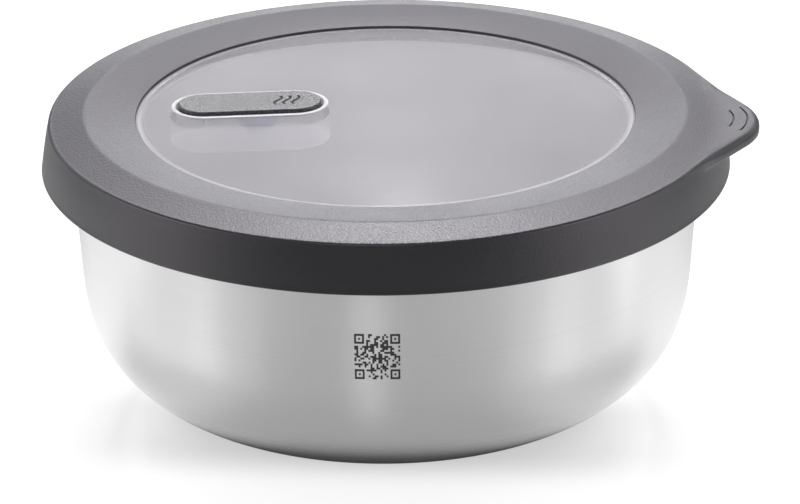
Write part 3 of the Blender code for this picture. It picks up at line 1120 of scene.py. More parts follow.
@dataclass
class Lid:
    """Framed lid: the ring with its skirt and tab, the pane, the ring that holds it, and the seal.

    Heights are above the plane of the bowl's rim.
    """

    zero: float
    reach: float
    edge_radius: float = 88.2 * MM
    edge: float = 3.4 * MM
    edge_rounding: float = 0.9 * MM
    tab_edge_rounding: float = 1.8 * MM
    skirt_taper: float = 2.35 * MM
    skirt_bulge: float = 0.75
    skirt_height: float = 12.9 * MM
    skirt_wall: float = 2.0 * MM
    skirt_rounding: float = 0.7 * MM
    ceiling: float = 2.0 * MM
    ceiling_rounding: float = 0.5 * MM
    crest_radius: float = 78.9 * MM
    crest: float = 5.4 * MM
    crest_rounding: float = 4.0 * MM
    opening_radius: float = 65.45 * MM
    opening_edge: float = 3.8 * MM
    opening_rounding: float = 0.25 * MM
    lip_thickness: float = 0.7 * MM
    lip_rounding: float = 0.15 * MM
    mouth_outer: float = 81.5 * MM
    mouth_wall: float = 2.0 * MM
    mouth_depth: float = 6.0 * MM
    snap: float = 0.8 * MM
    tab_tip_radius: float = 22.0 * MM
    tab_flank: float = math.radians(31.2)
    tab_blend: float = 1.8 * MM
    tab_thickness: float = 3.4 * MM
    tab_rounding: float = 0.6 * MM
    tab_valley: float = 0.9 * MM
    tab_run_out: float = 3.0 * MM
    groove_radii: tuple[float, float] = (15.2 * MM, 18.8 * MM)
    groove_turns: tuple[float, float] = (math.radians(21.7), math.radians(25.2))
    groove_size: float = 0.32 * MM
    groove_sink: float = 0.13 * MM
    ring_steps: int = 512
    side_steepness: float = 0.85
    band_start: float = 0.3 * MM
    clearance: float = 0.3 * MM
    pane_thickness: float = 1.8 * MM
    pane_raised: float = 3.4 * MM
    pane_gap: float = 0.35 * MM
    pane_slope: float = 1.6 * MM
    pane_fall: float = 0.3 * MM
    pane_bend: float = 3.0 * MM
    pane_edge_rounding: float = 0.12 * MM
    pane_step_rounding: float = 0.1 * MM
    insert_rounding: float = 0.2 * MM
    retainer_width: float = 6.0 * MM
    retainer_height: float = 3.6 * MM
    retainer_chamfer: float = 1.8 * MM
    retainer_rounding: float = 0.3 * MM
    retainer_soft: float = 0.5 * MM
    seal_thickness: float = 1.4 * MM
    seal_outer: float = 85.3 * MM
    seal_rounding: float = 0.5 * MM

    SLOPE_STEPS = 24
    ROUND_STEPS = 6
    SKIRT_STEPS = 6
    FOOT_STEPS = 5

    @property
    def lip_underside(self) -> float:
        """Height of the lip's underside."""
        return self.opening_edge - self.lip_thickness

    @property
    def pane_top(self) -> float:
        """Height of the pane's border under the lip."""
        return self.lip_underside - self.clearance

    @property
    def pane_bottom(self) -> float:
        """Height of the pane's underside."""
        return self.pane_top - self.pane_thickness

    @property
    def pane_edge(self) -> float:
        """Radius of the raised part of the pane."""
        return self.opening_radius - self.pane_gap

    @property
    def mouth_inner(self) -> float:
        """Inner radius of the wall that drops into the bowl."""
        return self.mouth_outer - self.mouth_wall

    @property
    def insert_radius(self) -> float:
        """Radius of the pane and of the ring that holds it."""
        return self.mouth_inner - self.clearance

    @property
    def snap_level(self) -> float:
        """Height of the retainer's snap bead."""
        return self.pane_bottom - self.clearance - self.retainer_height / 2

    @property
    def slope(self) -> float:
        """Fall of the ring's outer slope."""
        return (self.crest - self.edge) / (self.edge_radius - self.crest_radius)

    @property
    def tip_centre(self) -> float:
        """Distance from the axis to the centre of the tab's round tip."""
        return self.reach - self.tab_tip_radius

    def skirt(self, level: float) -> float:
        """Outer radius of the skirt at a height."""
        share = max((self.edge - level) / self.skirt_height, 0.0)
        return self.edge_radius + self.skirt_taper * share**self.skirt_bulge

    def outline(self, angle: float) -> float:
        """Return the radius of the top edge at an angle from the tab's axis.

        Args:
            angle: Angle about Z, from -pi to pi.

        Returns:
            Radius to the edge of the ring or of the tab.
        """
        turn = abs(angle)
        tip_end = math.atan2(
            self.tab_tip_radius * math.sin(self.tab_flank),
            self.tip_centre + self.tab_tip_radius * math.cos(self.tab_flank),
        )
        if turn < tip_end:
            side = self.tip_centre * math.sin(turn)
            return self.tip_centre * math.cos(turn) + math.sqrt(self.tab_tip_radius**2 - side**2)
        if turn > self.tab_flank:
            return self.edge_radius
        distance = self.tip_centre * math.cos(self.tab_flank) + self.tab_tip_radius
        flank = distance / math.cos(self.tab_flank - turn)
        near = max(self.tab_blend - abs(flank - self.edge_radius), 0.0)
        return max(flank, self.edge_radius) + near * near / (4 * self.tab_blend)

    def top_height(self, radius: float, share: float) -> float:
        """Return the height of the outer slope, which runs out level on the tab.

        Args:
            radius: Distance from the axis.
            share: How far the section belongs to the tab, from 0 to 1.

        Returns:
            Height of the top there.
        """
        falling = self.crest - self.slope * (radius - self.crest_radius)
        near = max(self.tab_valley - abs(falling - self.edge), 0.0)
        level = max(falling, self.edge) + near * near / (4 * self.tab_valley)
        return falling + (level - falling) * share

    def inner_section(self) -> Profile:
        """Work out the part of the section that is the same all round.

        Returns:
            Its points, from inside the skirt to the crest's outer side.
        """
        groove = self.snap + self.clearance
        bottom = self.edge - self.skirt_height
        skirt_inner = self.skirt(bottom) - self.skirt_wall
        under = rounded(
            [
                (skirt_inner + self.skirt_wall / 2, bottom, 0),
                (skirt_inner, bottom, self.skirt_rounding),
                (self.edge_radius - self.skirt_wall, self.ceiling, self.ceiling_rounding),
                (self.mouth_outer, self.ceiling, self.ceiling_rounding),
                (self.mouth_outer, -self.mouth_depth, self.skirt_rounding),
                (self.mouth_inner, -self.mouth_depth, self.skirt_rounding),
                (self.mouth_inner, self.snap_level - groove, 0),
                (self.mouth_inner + groove, self.snap_level, 0),
                (self.mouth_inner, self.snap_level + groove, 0),
                (self.mouth_inner, self.lip_underside, 0),
                (self.opening_radius, self.lip_underside, self.lip_rounding),
                (self.opening_radius, self.opening_edge, self.opening_rounding),
                (self.crest_radius, self.crest, self.crest_rounding),
                (self.edge_radius, self.edge, 0),
            ],
            steps=self.FOOT_STEPS,
        )
        return under[:-1]

    def outer_section(self, angle: float, start: tuple[float, float]) -> Profile:
        """Work out the part of the section that changes along the tab.

        Args:
            angle: Angle from the tab's axis.
            start: Last point of the fixed part, on the outer slope.

        Returns:
            Points of the slope, the edge, the side of the tab, its underside and the skirt to its foot.
        """
        reach = self.outline(angle)
        rise = min((reach - self.edge_radius) / self.tab_run_out, 1.0)
        share = rise * rise * (3 - 2 * rise)
        tilt = math.atan(self.slope) * (1 - share)
        rounding = self.edge_rounding + (self.tab_edge_rounding - self.edge_rounding) * share
        heart = self.edge + rounding * math.tan(tilt) - rounding / math.cos(tilt)
        out = max(reach, self.skirt(heart))
        points: Profile = []
        arc_start = out - rounding + rounding * math.sin(tilt)
        for step in range(1, self.SLOPE_STEPS):
            radius = start[0] + (arc_start - start[0]) * step / self.SLOPE_STEPS
            points.append((radius, self.top_height(radius, share)))
        for step in range(self.ROUND_STEPS + 1):
            turn = tilt + (math.pi / 2 - tilt) * step / self.ROUND_STEPS
            points.append((out - rounding + rounding * math.sin(turn), heart + rounding * math.cos(turn)))
        under = self.edge - self.tab_thickness
        low = self.tab_rounding
        for inset, lift in QUARTER_ROUND:
            level = under + lift * low
            points.append((max(out - inset * low, self.skirt(level)), level))
        shelf = points[-1][0] - self.skirt(under)
        corner = min(shelf, low)
        points.append((self.skirt(under) + (shelf + corner) / 2, under))
        for inset, drop in reversed(QUARTER_ROUND):
            level = under - drop * low
            points.append((self.skirt(level) + inset * corner, level))
        bottom = self.edge - self.skirt_height
        foot = self.skirt_rounding
        for step in range(1, self.SKIRT_STEPS + 1):
            level = under - low + (bottom + foot - under + low) * step / self.SKIRT_STEPS
            points.append((self.skirt(level), level))
        for step in range(1, self.FOOT_STEPS + 1):
            turn = math.pi / 2 * step / self.FOOT_STEPS
            radius = self.skirt(bottom) - foot + foot * math.cos(turn)
            points.append((radius, bottom + foot - foot * math.sin(turn)))
        return points

    def make_ring(self, finishes: Finishes) -> bpy.types.Object:
        """Make the ring with its skirt and tab, and cut the tab's two grooves.

        Args:
            finishes: Materials of all pieces.

        Returns:
            The finished ring.
        """
        inner = self.inner_section()
        rows = []
        for step in range(self.ring_steps):
            angle = math.tau * step / self.ring_steps - math.pi
            section = [*inner, *self.outer_section(angle, inner[-1])]
            across = Vector((math.cos(angle), math.sin(angle), 0))
            rows.append([across * radius + Vector((0, 0, self.zero + height)) for radius, height in section])
        ring = skin("lid_ring", rows, wrap=True, caps=False)
        for radius, turn in zip(self.groove_radii, self.groove_turns):
            combine(ring, self.groove_tool(radius, turn), Joining.CUT)

        def zone(face: bpy.types.MeshPolygon) -> int:
            """Tell which finish a face takes.

            Args:
                face: Face of the ring.

            Returns:
                1 on the side, whose darker finish is painted shade, 2 on the outer slope and 0 elsewhere.
            """
            radius = face.center.xy.length
            if radius > self.edge_radius - self.skirt_wall and face.normal.z < self.side_steepness:
                return 1
            return 2 if radius > self.crest_radius + self.band_start else 0

        dress(ring, (finishes.frame, finishes.frame_side, finishes.frame_band), zone)
        shade(ring, degrees=38)
        return ring

    def groove_tool(self, radius: float, turn: float) -> bpy.types.Object:
        """Return a bent rod that cuts one arc into the tab.

        Args:
            radius: Radius of the arc about the tip's centre.
            turn: Half of the angle that it covers.

        Returns:
            A closed rod with round ends.
        """
        rows = []
        level = self.zero + self.edge - self.groove_sink
        steps, sides, cap_steps = 40, 12, 4
        stations = [(-1.0, math.pi / 2 * (1 - i / cap_steps)) for i in range(1, cap_steps)]
        stations += [(2 * i / steps - 1, 0.0) for i in range(steps + 1)]
        stations += [(1.0, -math.pi / 2 * i / cap_steps) for i in range(1, cap_steps)]
        for share, cap in stations:
            angle = turn * share - math.sin(cap) * self.groove_size / radius
            size = self.groove_size * math.cos(cap)
            out = Vector((math.cos(angle), math.sin(angle), 0))
            middle = Vector((self.tip_centre, 0, level)) + out * radius
            ring = []
            for side in range(sides):
                spin = math.tau * side / sides
                ring.append(middle + (out * math.cos(spin) + Vector((0, 0, 1)) * math.sin(spin)) * size)
            rows.append(ring)
        return skin("tab_groove", rows, wrap=False, caps=True)

    def make_pane(self, turning: TurnedPiece, vent: "Vent", finishes: Finishes) -> bpy.types.Object:
        """Make the pane with its raised middle and the vent's well.

        Args:
            turning: Tree that turns profiles.
            vent: Vent that the well belongs to.
            finishes: Materials of all pieces.

        Returns:
            The finished pane.
        """
        corners = [
            (0.0, self.pane_raised, 0),
            (self.pane_edge - self.pane_slope, self.pane_raised, self.pane_bend),
            (self.pane_edge, self.pane_raised - self.pane_fall, self.pane_edge_rounding),
            (self.pane_edge, self.pane_top, self.pane_step_rounding),
            (self.insert_radius, self.pane_top, self.insert_rounding),
            (self.insert_radius, self.pane_bottom, self.insert_rounding),
            (0.0, self.pane_bottom, 0),
        ]
        profile = [(radius, height + self.zero) for radius, height in rounded(corners)]
        pane = turning.make("lid_pane", profile, finishes.pane)
        vent.sink_well(pane)
        close_up(pane)
        levels = (self.zero + self.pane_bottom, self.zero + self.pane_raised)
        vent.dress_well(pane, levels, finishes)
        shade(pane, degrees=30)
        return pane

    def make_retainer(self, turning: TurnedPiece, finishes: Finishes) -> bpy.types.Object:
        """Make the snap-in ring under the pane.

        Args:
            turning: Tree that turns profiles.
            finishes: Materials of all pieces.

        Returns:
            The finished ring.
        """
        top = self.pane_bottom - self.clearance
        bottom = top - self.retainer_height
        inner = self.insert_radius - self.retainer_width
        corners = [
            (self.insert_radius, top, self.insert_rounding),
            (self.insert_radius, self.snap_level + self.snap, 0),
            (self.insert_radius + self.snap, self.snap_level, self.insert_rounding),
            (self.insert_radius, self.snap_level - self.snap, 0),
            (self.insert_radius, bottom, self.retainer_rounding),
            (inner + self.retainer_chamfer, bottom, self.retainer_soft),
            (inner, bottom + self.retainer_chamfer, self.retainer_soft),
            (inner, top, self.retainer_rounding),
        ]
        profile = [(radius, height + self.zero) for radius, height in rounded(corners, closed=True)]
        ring = turning.make("pane_retainer", profile, finishes.retainer)
        shade(ring)
        return ring

    def make_seal(self, turning: TurnedPiece, finishes: Finishes) -> bpy.types.Object:
        """Make the flat silicone ring between the rim and the lid.

        Args:
            turning: Tree that turns profiles.
            finishes: Materials of all pieces.

        Returns:
            The finished seal.
        """
        bottom = self.zero + self.clearance
        top = bottom + self.seal_thickness
        inner = self.mouth_outer + self.clearance
        outer, soft = self.seal_outer, self.seal_rounding
        corners = [(outer, top, soft), (outer, bottom, soft), (inner, bottom, soft), (inner, top, soft)]
        ring = turning.make("rim_seal", rounded(corners, closed=True), finishes.seal)
        shade(ring)
        return ring

    def build(self, turning: TurnedPiece, vent: "Vent", finishes: Finishes) -> None:
        """Make and dress the lid's pieces.

        Args:
            turning: Tree that turns profiles.
            vent: Vent that sits in the pane.
            finishes: Materials of all pieces.
        """
        place_piece(self.make_ring(finishes), Body.LID, Slot.FRAME, "lid_frame")
        place_piece(self.make_pane(turning, vent, finishes), Body.LID, Slot.WINDOW, "lid_window")
        place_piece(self.make_retainer(turning, finishes), Body.LID, Slot.RETAINER, "window_retainer")
        place_piece(self.make_seal(turning, finishes), Body.LID, Slot.SEAL, "lid_seal")


@dataclass
class Vent:
    """Flip-up steam vent: its cover, the cone under it, the pin it turns on and the well in the pane.

    Places are in the hinge's frame: X along the cover, zero on the hinge's axis. The collar's and the
    cap's flat are shares of their rounding at which the flat top starts.
    """

    hinge: Matrix
    cap_length: float = 37.8 * MM
    cap_width: float = 13.6 * MM
    cap_top: float = 2.3 * MM
    cap_thickness: float = 2.4 * MM
    cap_rounding: float = 0.4 * MM
    cap_chamfer: float = 0.3 * MM
    cap_flat: float = 1.3
    hinge_inset: float = 7.1 * MM
    side_gap: float = 1.0 * MM
    hinge_gap: float = 0.6 * MM
    finger_gap: float = 0.55 * MM
    well_wall: float = 1.6 * MM
    well_underside: float = -8.2 * MM
    well_floor: float = 0.9 * MM
    well_rounding: float = 0.5 * MM
    well_edge: float = 0.15 * MM
    collar_rounding: float = 0.8 * MM
    collar_white: float = 0.45
    collar_brim: float = 0.25 * MM
    collar_flat: float = 1.1
    collar_top: float = 1.55 * MM
    pin_hole: float = 0.7 * MM
    pin_half: float = 8.7 * MM
    knuckle_wall: float = 0.8 * MM
    knuckle_length: float = 10.4 * MM
    stud_radius: float = 2.2 * MM
    stud_length: float = 2.6 * MM
    plug_offset: float = 2.0 * MM
    plug_radius: float = 6.3 * MM
    plug_flange: float = 1.2 * MM
    plug_tip_radius: float = 1.2 * MM
    plug_rounding: float = 0.35 * MM
    plug_tip_rounding: float = 0.4 * MM
    socket_rounding: float = 0.3 * MM
    socket_mouth_rounding: float = 0.15 * MM
    clearance: float = 0.3 * MM
    margin: float = 0.3 * MM
    outline_margin: float = 0.05 * MM
    level_margin: float = 0.02 * MM
    wave_offset: float = 9.8 * MM
    wave_count: int = 3
    wave_pitch: float = 2.35 * MM
    wave_length: float = 6.0 * MM
    wave_sway: float = 0.55 * MM
    wave_slant: float = 1.9 * MM
    wave_radius: float = 0.38 * MM
    wave_lift: float = 0.15
    wave_margin: float = 0.003 * MM
    end_steps: int = 48
    edge_steps: int = 6

    @property
    def cap_centre(self) -> float:
        """Distance from the hinge to the middle of the cover."""
        return self.cap_length / 2 - self.hinge_inset

    @property
    def cap_underside(self) -> float:
        """Height of the cover's underside."""
        return self.cap_top - self.cap_thickness

    @property
    def plug_centre(self) -> float:
        """Distance from the hinge to the cone's axis."""
        return self.cap_centre + self.plug_offset

    @property
    def well_centre(self) -> float:
        """Distance from the hinge to the middle of the well."""
        return self.cap_centre + (self.finger_gap - self.hinge_gap) / 2

    @property
    def well_length(self) -> float:
        """Length of the well's hollow."""
        return self.cap_length + self.hinge_gap + self.finger_gap

    @property
    def well_width(self) -> float:
        """Width of the well's hollow."""
        return self.cap_width + 2 * self.side_gap

    def oblong(
        self, name: str, length: float, width: float, centre: float, layers: Sequence[tuple[float, float]]
    ) -> bpy.types.Object:
        """Make a closed solid with round ends.

        Args:
            name: Name of the object.
            length: Its full length along X.
            width: Its full width.
            centre: Place of its middle along X.
            layers: Pairs of (inset from the full outline, height), from one end to the other.

        Returns:
            The solid, in place.
        """
        rows = []
        for inset, height in layers:
            radius = width / 2 - inset
            straight = (length - width) / 2
            ring = []
            for step in range(2 * self.end_steps + 2):
                at_right = step <= self.end_steps
                turn = math.pi * (step if at_right else step - 1) / self.end_steps - math.pi / 2
                x = centre + radius * math.cos(turn) + (straight if at_right else -straight)
                ring.append(self.hinge @ Vector((x, radius * math.sin(turn), height)))
            rows.append(ring)
        return skin(name, rows, wrap=False, caps=True)

    def rod(
        self, name: str, radii: Span, ends: tuple[Vector, Vector], sides: int = 40
    ) -> bpy.types.Object:
        """Make a closed rod or cone between two points of the hinge's frame.

        Args:
            name: Name of the object.
            radii: Radius at each end.
            ends: Its two ends.
            sides: Facets round it.

        Returns:
            The rod, in place.
        """
        along = (ends[1] - ends[0]).normalized()
        out = along.orthogonal().normalized()
        up = along.cross(out)
        rows = []
        for radius, end in zip(radii, ends):
            turns = [math.tau * side / sides for side in range(sides)]
            rows.append([self.hinge @ (end + (out * math.cos(t) + up * math.sin(t)) * radius) for t in turns])
        return skin(name, rows, wrap=False, caps=True)

    def cross_rod(self, name: str, radius: float, half_length: float) -> bpy.types.Object:
        """Make a rod that lies on the hinge's axis.

        Args:
            name: Name of the object.
            radius: Its radius.
            half_length: Half of its length.

        Returns:
            The rod, in place.
        """
        ends = (Vector((0, -half_length, 0)), Vector((0, half_length, 0)))
        return self.rod(name, (radius, radius), ends)

    def cone_radius(self, level: float) -> float:
        """Work out the radius of the cone at a height.

        Args:
            level: Height in the hinge's frame.

        Returns:
            The cone's radius there.
        """
        shoulder = self.cap_underside - self.clearance - self.plug_flange
        tip = self.well_underside + self.clearance
        share = (level - tip) / (shoulder - tip)
        return self.plug_tip_radius + (self.plug_radius - self.plug_tip_radius) * share

    def sink_well(self, pane: bpy.types.Object) -> None:
        """Add the well to the pane, with its collar, its vent hole and the sockets of the pin.

        Args:
            pane: Pane that is changed.
        """
        length, width = self.well_length, self.well_width
        full_length, full_width = length + 2 * self.well_wall, width + 2 * self.well_wall
        top, soft = self.collar_top, self.collar_rounding
        body = [
            (self.well_edge, self.well_underside),
            (0.0, self.well_underside + self.well_edge),
            *((inset * soft, top - drop * soft) for inset, drop in QUARTER_ROUND),
            (self.collar_flat * soft, top),
        ]
        combine(pane, self.oblong("well_body", full_length, full_width, self.well_centre, body), Joining.ADD)
        floor = self.well_underside + self.well_floor
        hollow = [
            (self.well_rounding, floor),
            (self.well_edge, floor + self.well_edge),
            (0.0, floor + self.well_rounding),
            (0.0, top - self.collar_brim),
            (-self.collar_brim - self.margin, top + self.margin),
        ]
        combine(pane, self.oblong("well_hollow", length, width, self.well_centre, hollow), Joining.CUT)
        levels = (self.well_underside - self.margin, floor + self.margin)
        radii = tuple(self.cone_radius(level) + self.clearance for level in levels)
        ends = tuple(Vector((self.plug_centre, 0, level)) for level in levels)
        combine(pane, self.rod("vent_hole", radii, ends), Joining.CUT)
        combine(pane, self.cross_rod("pin_sockets", self.pin_hole, self.pin_half), Joining.CUT)

    def dress_well(self, pane: bpy.types.Object, levels: tuple[float, float], finishes: Finishes) -> None:
        """Give the well's walls and collar their own finishes.

        Args:
            pane: Pane with the well.
            levels: Heights of the pane's underside and top.
            finishes: Materials of all pieces.
        """
        back = self.hinge.inverted()
        straight = (self.well_length - self.well_width) / 2
        reach = self.well_width / 2 + self.well_wall + self.outline_margin
        points = pane.data.vertices

        def zone(face: bpy.types.MeshPolygon) -> int:
            """Tell which finish a face takes.

            Args:
                face: Face of the pane.

            Returns:
                1 on the well, 2 on the collar and 0 elsewhere.
            """
            spot = back @ face.center
            distance = math.hypot(max(abs(spot.x - self.well_centre) - straight, 0.0), spot.y)
            level_with_pane = any(abs(face.center.z - level) < self.level_margin for level in levels)
            if level_with_pane or distance >= reach:
                return 0
            on_top = distance < reach - self.collar_white * self.collar_rounding
            lowest = min(points[corner].co.z for corner in face.vertices)
            return 2 if on_top and lowest > levels[1] - self.level_margin else 1

        dress(pane, (finishes.pane, finishes.well, finishes.collar), zone)

    def make_cover(self, finishes: Finishes) -> bpy.types.Object:
        """Make the cover with its knuckle, its stud and the engraved steam symbol.

        Args:
            finishes: Materials of all pieces.

        Returns:
            The finished cover.
        """
        edge = self.cap_rounding
        top, low = self.cap_top, self.cap_underside
        layers = [(self.cap_chamfer, low), (0.0, low + self.cap_chamfer)]
        for step in range(self.edge_steps + 1):
            turn = math.pi / 2 * step / self.edge_steps
            layers.append((edge * (1 - math.cos(turn)), top - edge + edge * math.sin(turn)))
        layers.append((self.cap_flat * edge, top))
        cover = self.oblong("vent_cover", self.cap_length, self.cap_width, self.cap_centre, layers)
        cover.data.materials.append(finishes.cap)
        knuckle = self.cross_rod("knuckle", self.pin_hole + self.knuckle_wall, self.knuckle_length / 2)
        combine(cover, knuckle, Joining.ADD)
        ends = (
            Vector((self.plug_centre, 0, low - self.stud_length)),
            Vector((self.plug_centre, 0, low + self.cap_thickness / 2)),
        )
        combine(cover, self.rod("stud", (self.stud_radius, self.stud_radius), ends), Joining.ADD)
        combine(cover, self.cross_rod("bore", self.pin_hole, self.cap_width), Joining.CUT)
        self.engrave(cover, finishes)
        close_up(cover)
        shade(cover, degrees=30)
        return cover

    def engrave(self, cover: bpy.types.Object, finishes: Finishes) -> None:
        """Cut the wave lines into the cover and darken what was cut.

        Args:
            cover: Cover that is changed.
            finishes: Materials of all pieces.
        """
        tool = new_object("wave_tool", bpy.data.meshes.new("wave_tool"))
        values = {
            "Count": self.wave_count,
            "Pitch": self.wave_pitch,
            "Length": self.wave_length,
            "Sway": self.wave_sway,
            "Slant": self.wave_slant,
            "Radius": self.wave_radius,
            "Material": finishes.engraving,
        }
        WaveLines().run(tool, values)
        level = self.cap_top + self.wave_radius * self.wave_lift
        centre = Vector((self.cap_centre + self.wave_offset, 0, level))
        tool.data.transform(self.hinge @ Matrix.Translation(centre))
        close_up(tool)
        combine(cover, tool, Joining.CUT)
        back = self.hinge.inverted()
        half_width = self.wave_pitch * (self.wave_count - 1) / 2 + self.wave_slant / 2 + self.wave_sway
        half_width += 2 * self.wave_radius
        half_length = self.wave_length / 2 + 2 * self.wave_radius

        def is_cut(face: bpy.types.MeshPolygon) -> int:
            """Tell whether a face was cut by the wave lines.

            Args:
                face: Face of the cover.

            Returns:
                1 if it was, and otherwise 0.
            """
            spot = back @ face.center
            near = abs(spot.x - centre.x) < half_width and abs(spot.y) < half_length
            sunk = self.cap_top - self.wave_radius * 2 < spot.z < self.cap_top - self.wave_margin
            return int(near and sunk)

        dress(cover, (finishes.cap, finishes.engraving), is_cut)

    def make_cone(self, turning: TurnedPiece, finishes: Finishes) -> bpy.types.Object:
        """Make the silicone cone that closes the vent hole.

        Args:
            turning: Tree that turns profiles.
            finishes: Materials of all pieces.

        Returns:
            The finished cone.
        """
        top = self.cap_underside - self.clearance
        shoulder = top - self.plug_flange
        tip = self.well_underside + self.clearance
        socket = self.stud_radius + self.clearance
        floor = self.cap_underside - self.stud_length - self.clearance
        corners = [
            (0.0, floor, 0),
            (socket, floor, self.socket_rounding),
            (socket, top, self.socket_mouth_rounding),
            (self.plug_radius, top, self.plug_rounding),
            (self.plug_radius, shoulder, self.plug_rounding),
            (self.plug_tip_radius, tip, self.plug_tip_rounding),
            (0.0, tip, 0),
        ]
        cone = turning.make("vent_cone", rounded(corners), finishes.plug, TurnedPiece.SMALL_STEPS)
        cone.data.transform(self.hinge @ Matrix.Translation((self.plug_centre, 0, 0)))
        shade(cone)
        return cone

    def build(self, turning: TurnedPiece, finishes: Finishes) -> None:
        """Make and dress the vent's pieces.

        Args:
            turning: Tree that turns profiles.
            finishes: Materials of all pieces.
        """
        place_piece(self.make_cover(finishes), Body.VENT, Slot.CAP, "vent_cap")
        place_piece(self.make_cone(turning, finishes), Body.VENT, Slot.PLUG, "vent_plug")
        pin = frame["nodes"]["vent_hinge_pin"]
        pin.data.materials.clear()
        pin.data.materials.append(finishes.pin)
        LOG.info("vent_hinge_pin keeps its own shape")


# Studio


@dataclass(frozen=True)
class Softbox:
    """A large soft lamp that points at the container, with its turn and elevation in degrees."""

    name: str
    turn: float
    elevation: float
    distance: float
    size: Span
    radiance: float

    def build(self, aim: Vector) -> None:
        """Make the lamp, with the power that gives its face this radiance.

        Args:
            aim: Spot that it points at.
        """
        data = bpy.data.lights.new(self.name, "AREA")
        data.shape = "RECTANGLE"
        data.size, data.size_y = self.size
        data.energy = self.radiance * math.pi * self.size[0] * self.size[1]
        turn, rise = math.radians(self.turn), math.radians(self.elevation)
        away = Vector((math.sin(turn) * math.cos(rise), -math.cos(turn) * math.cos(rise), math.sin(rise)))
        lamp = bpy.data.objects.new(self.name, data)
        lamp.location = aim + away * self.distance
        lamp.rotation_euler = away.to_track_quat("Z", "Y").to_euler()
        lamp.visible_camera = False
        bpy.context.scene.collection.objects.link(lamp)


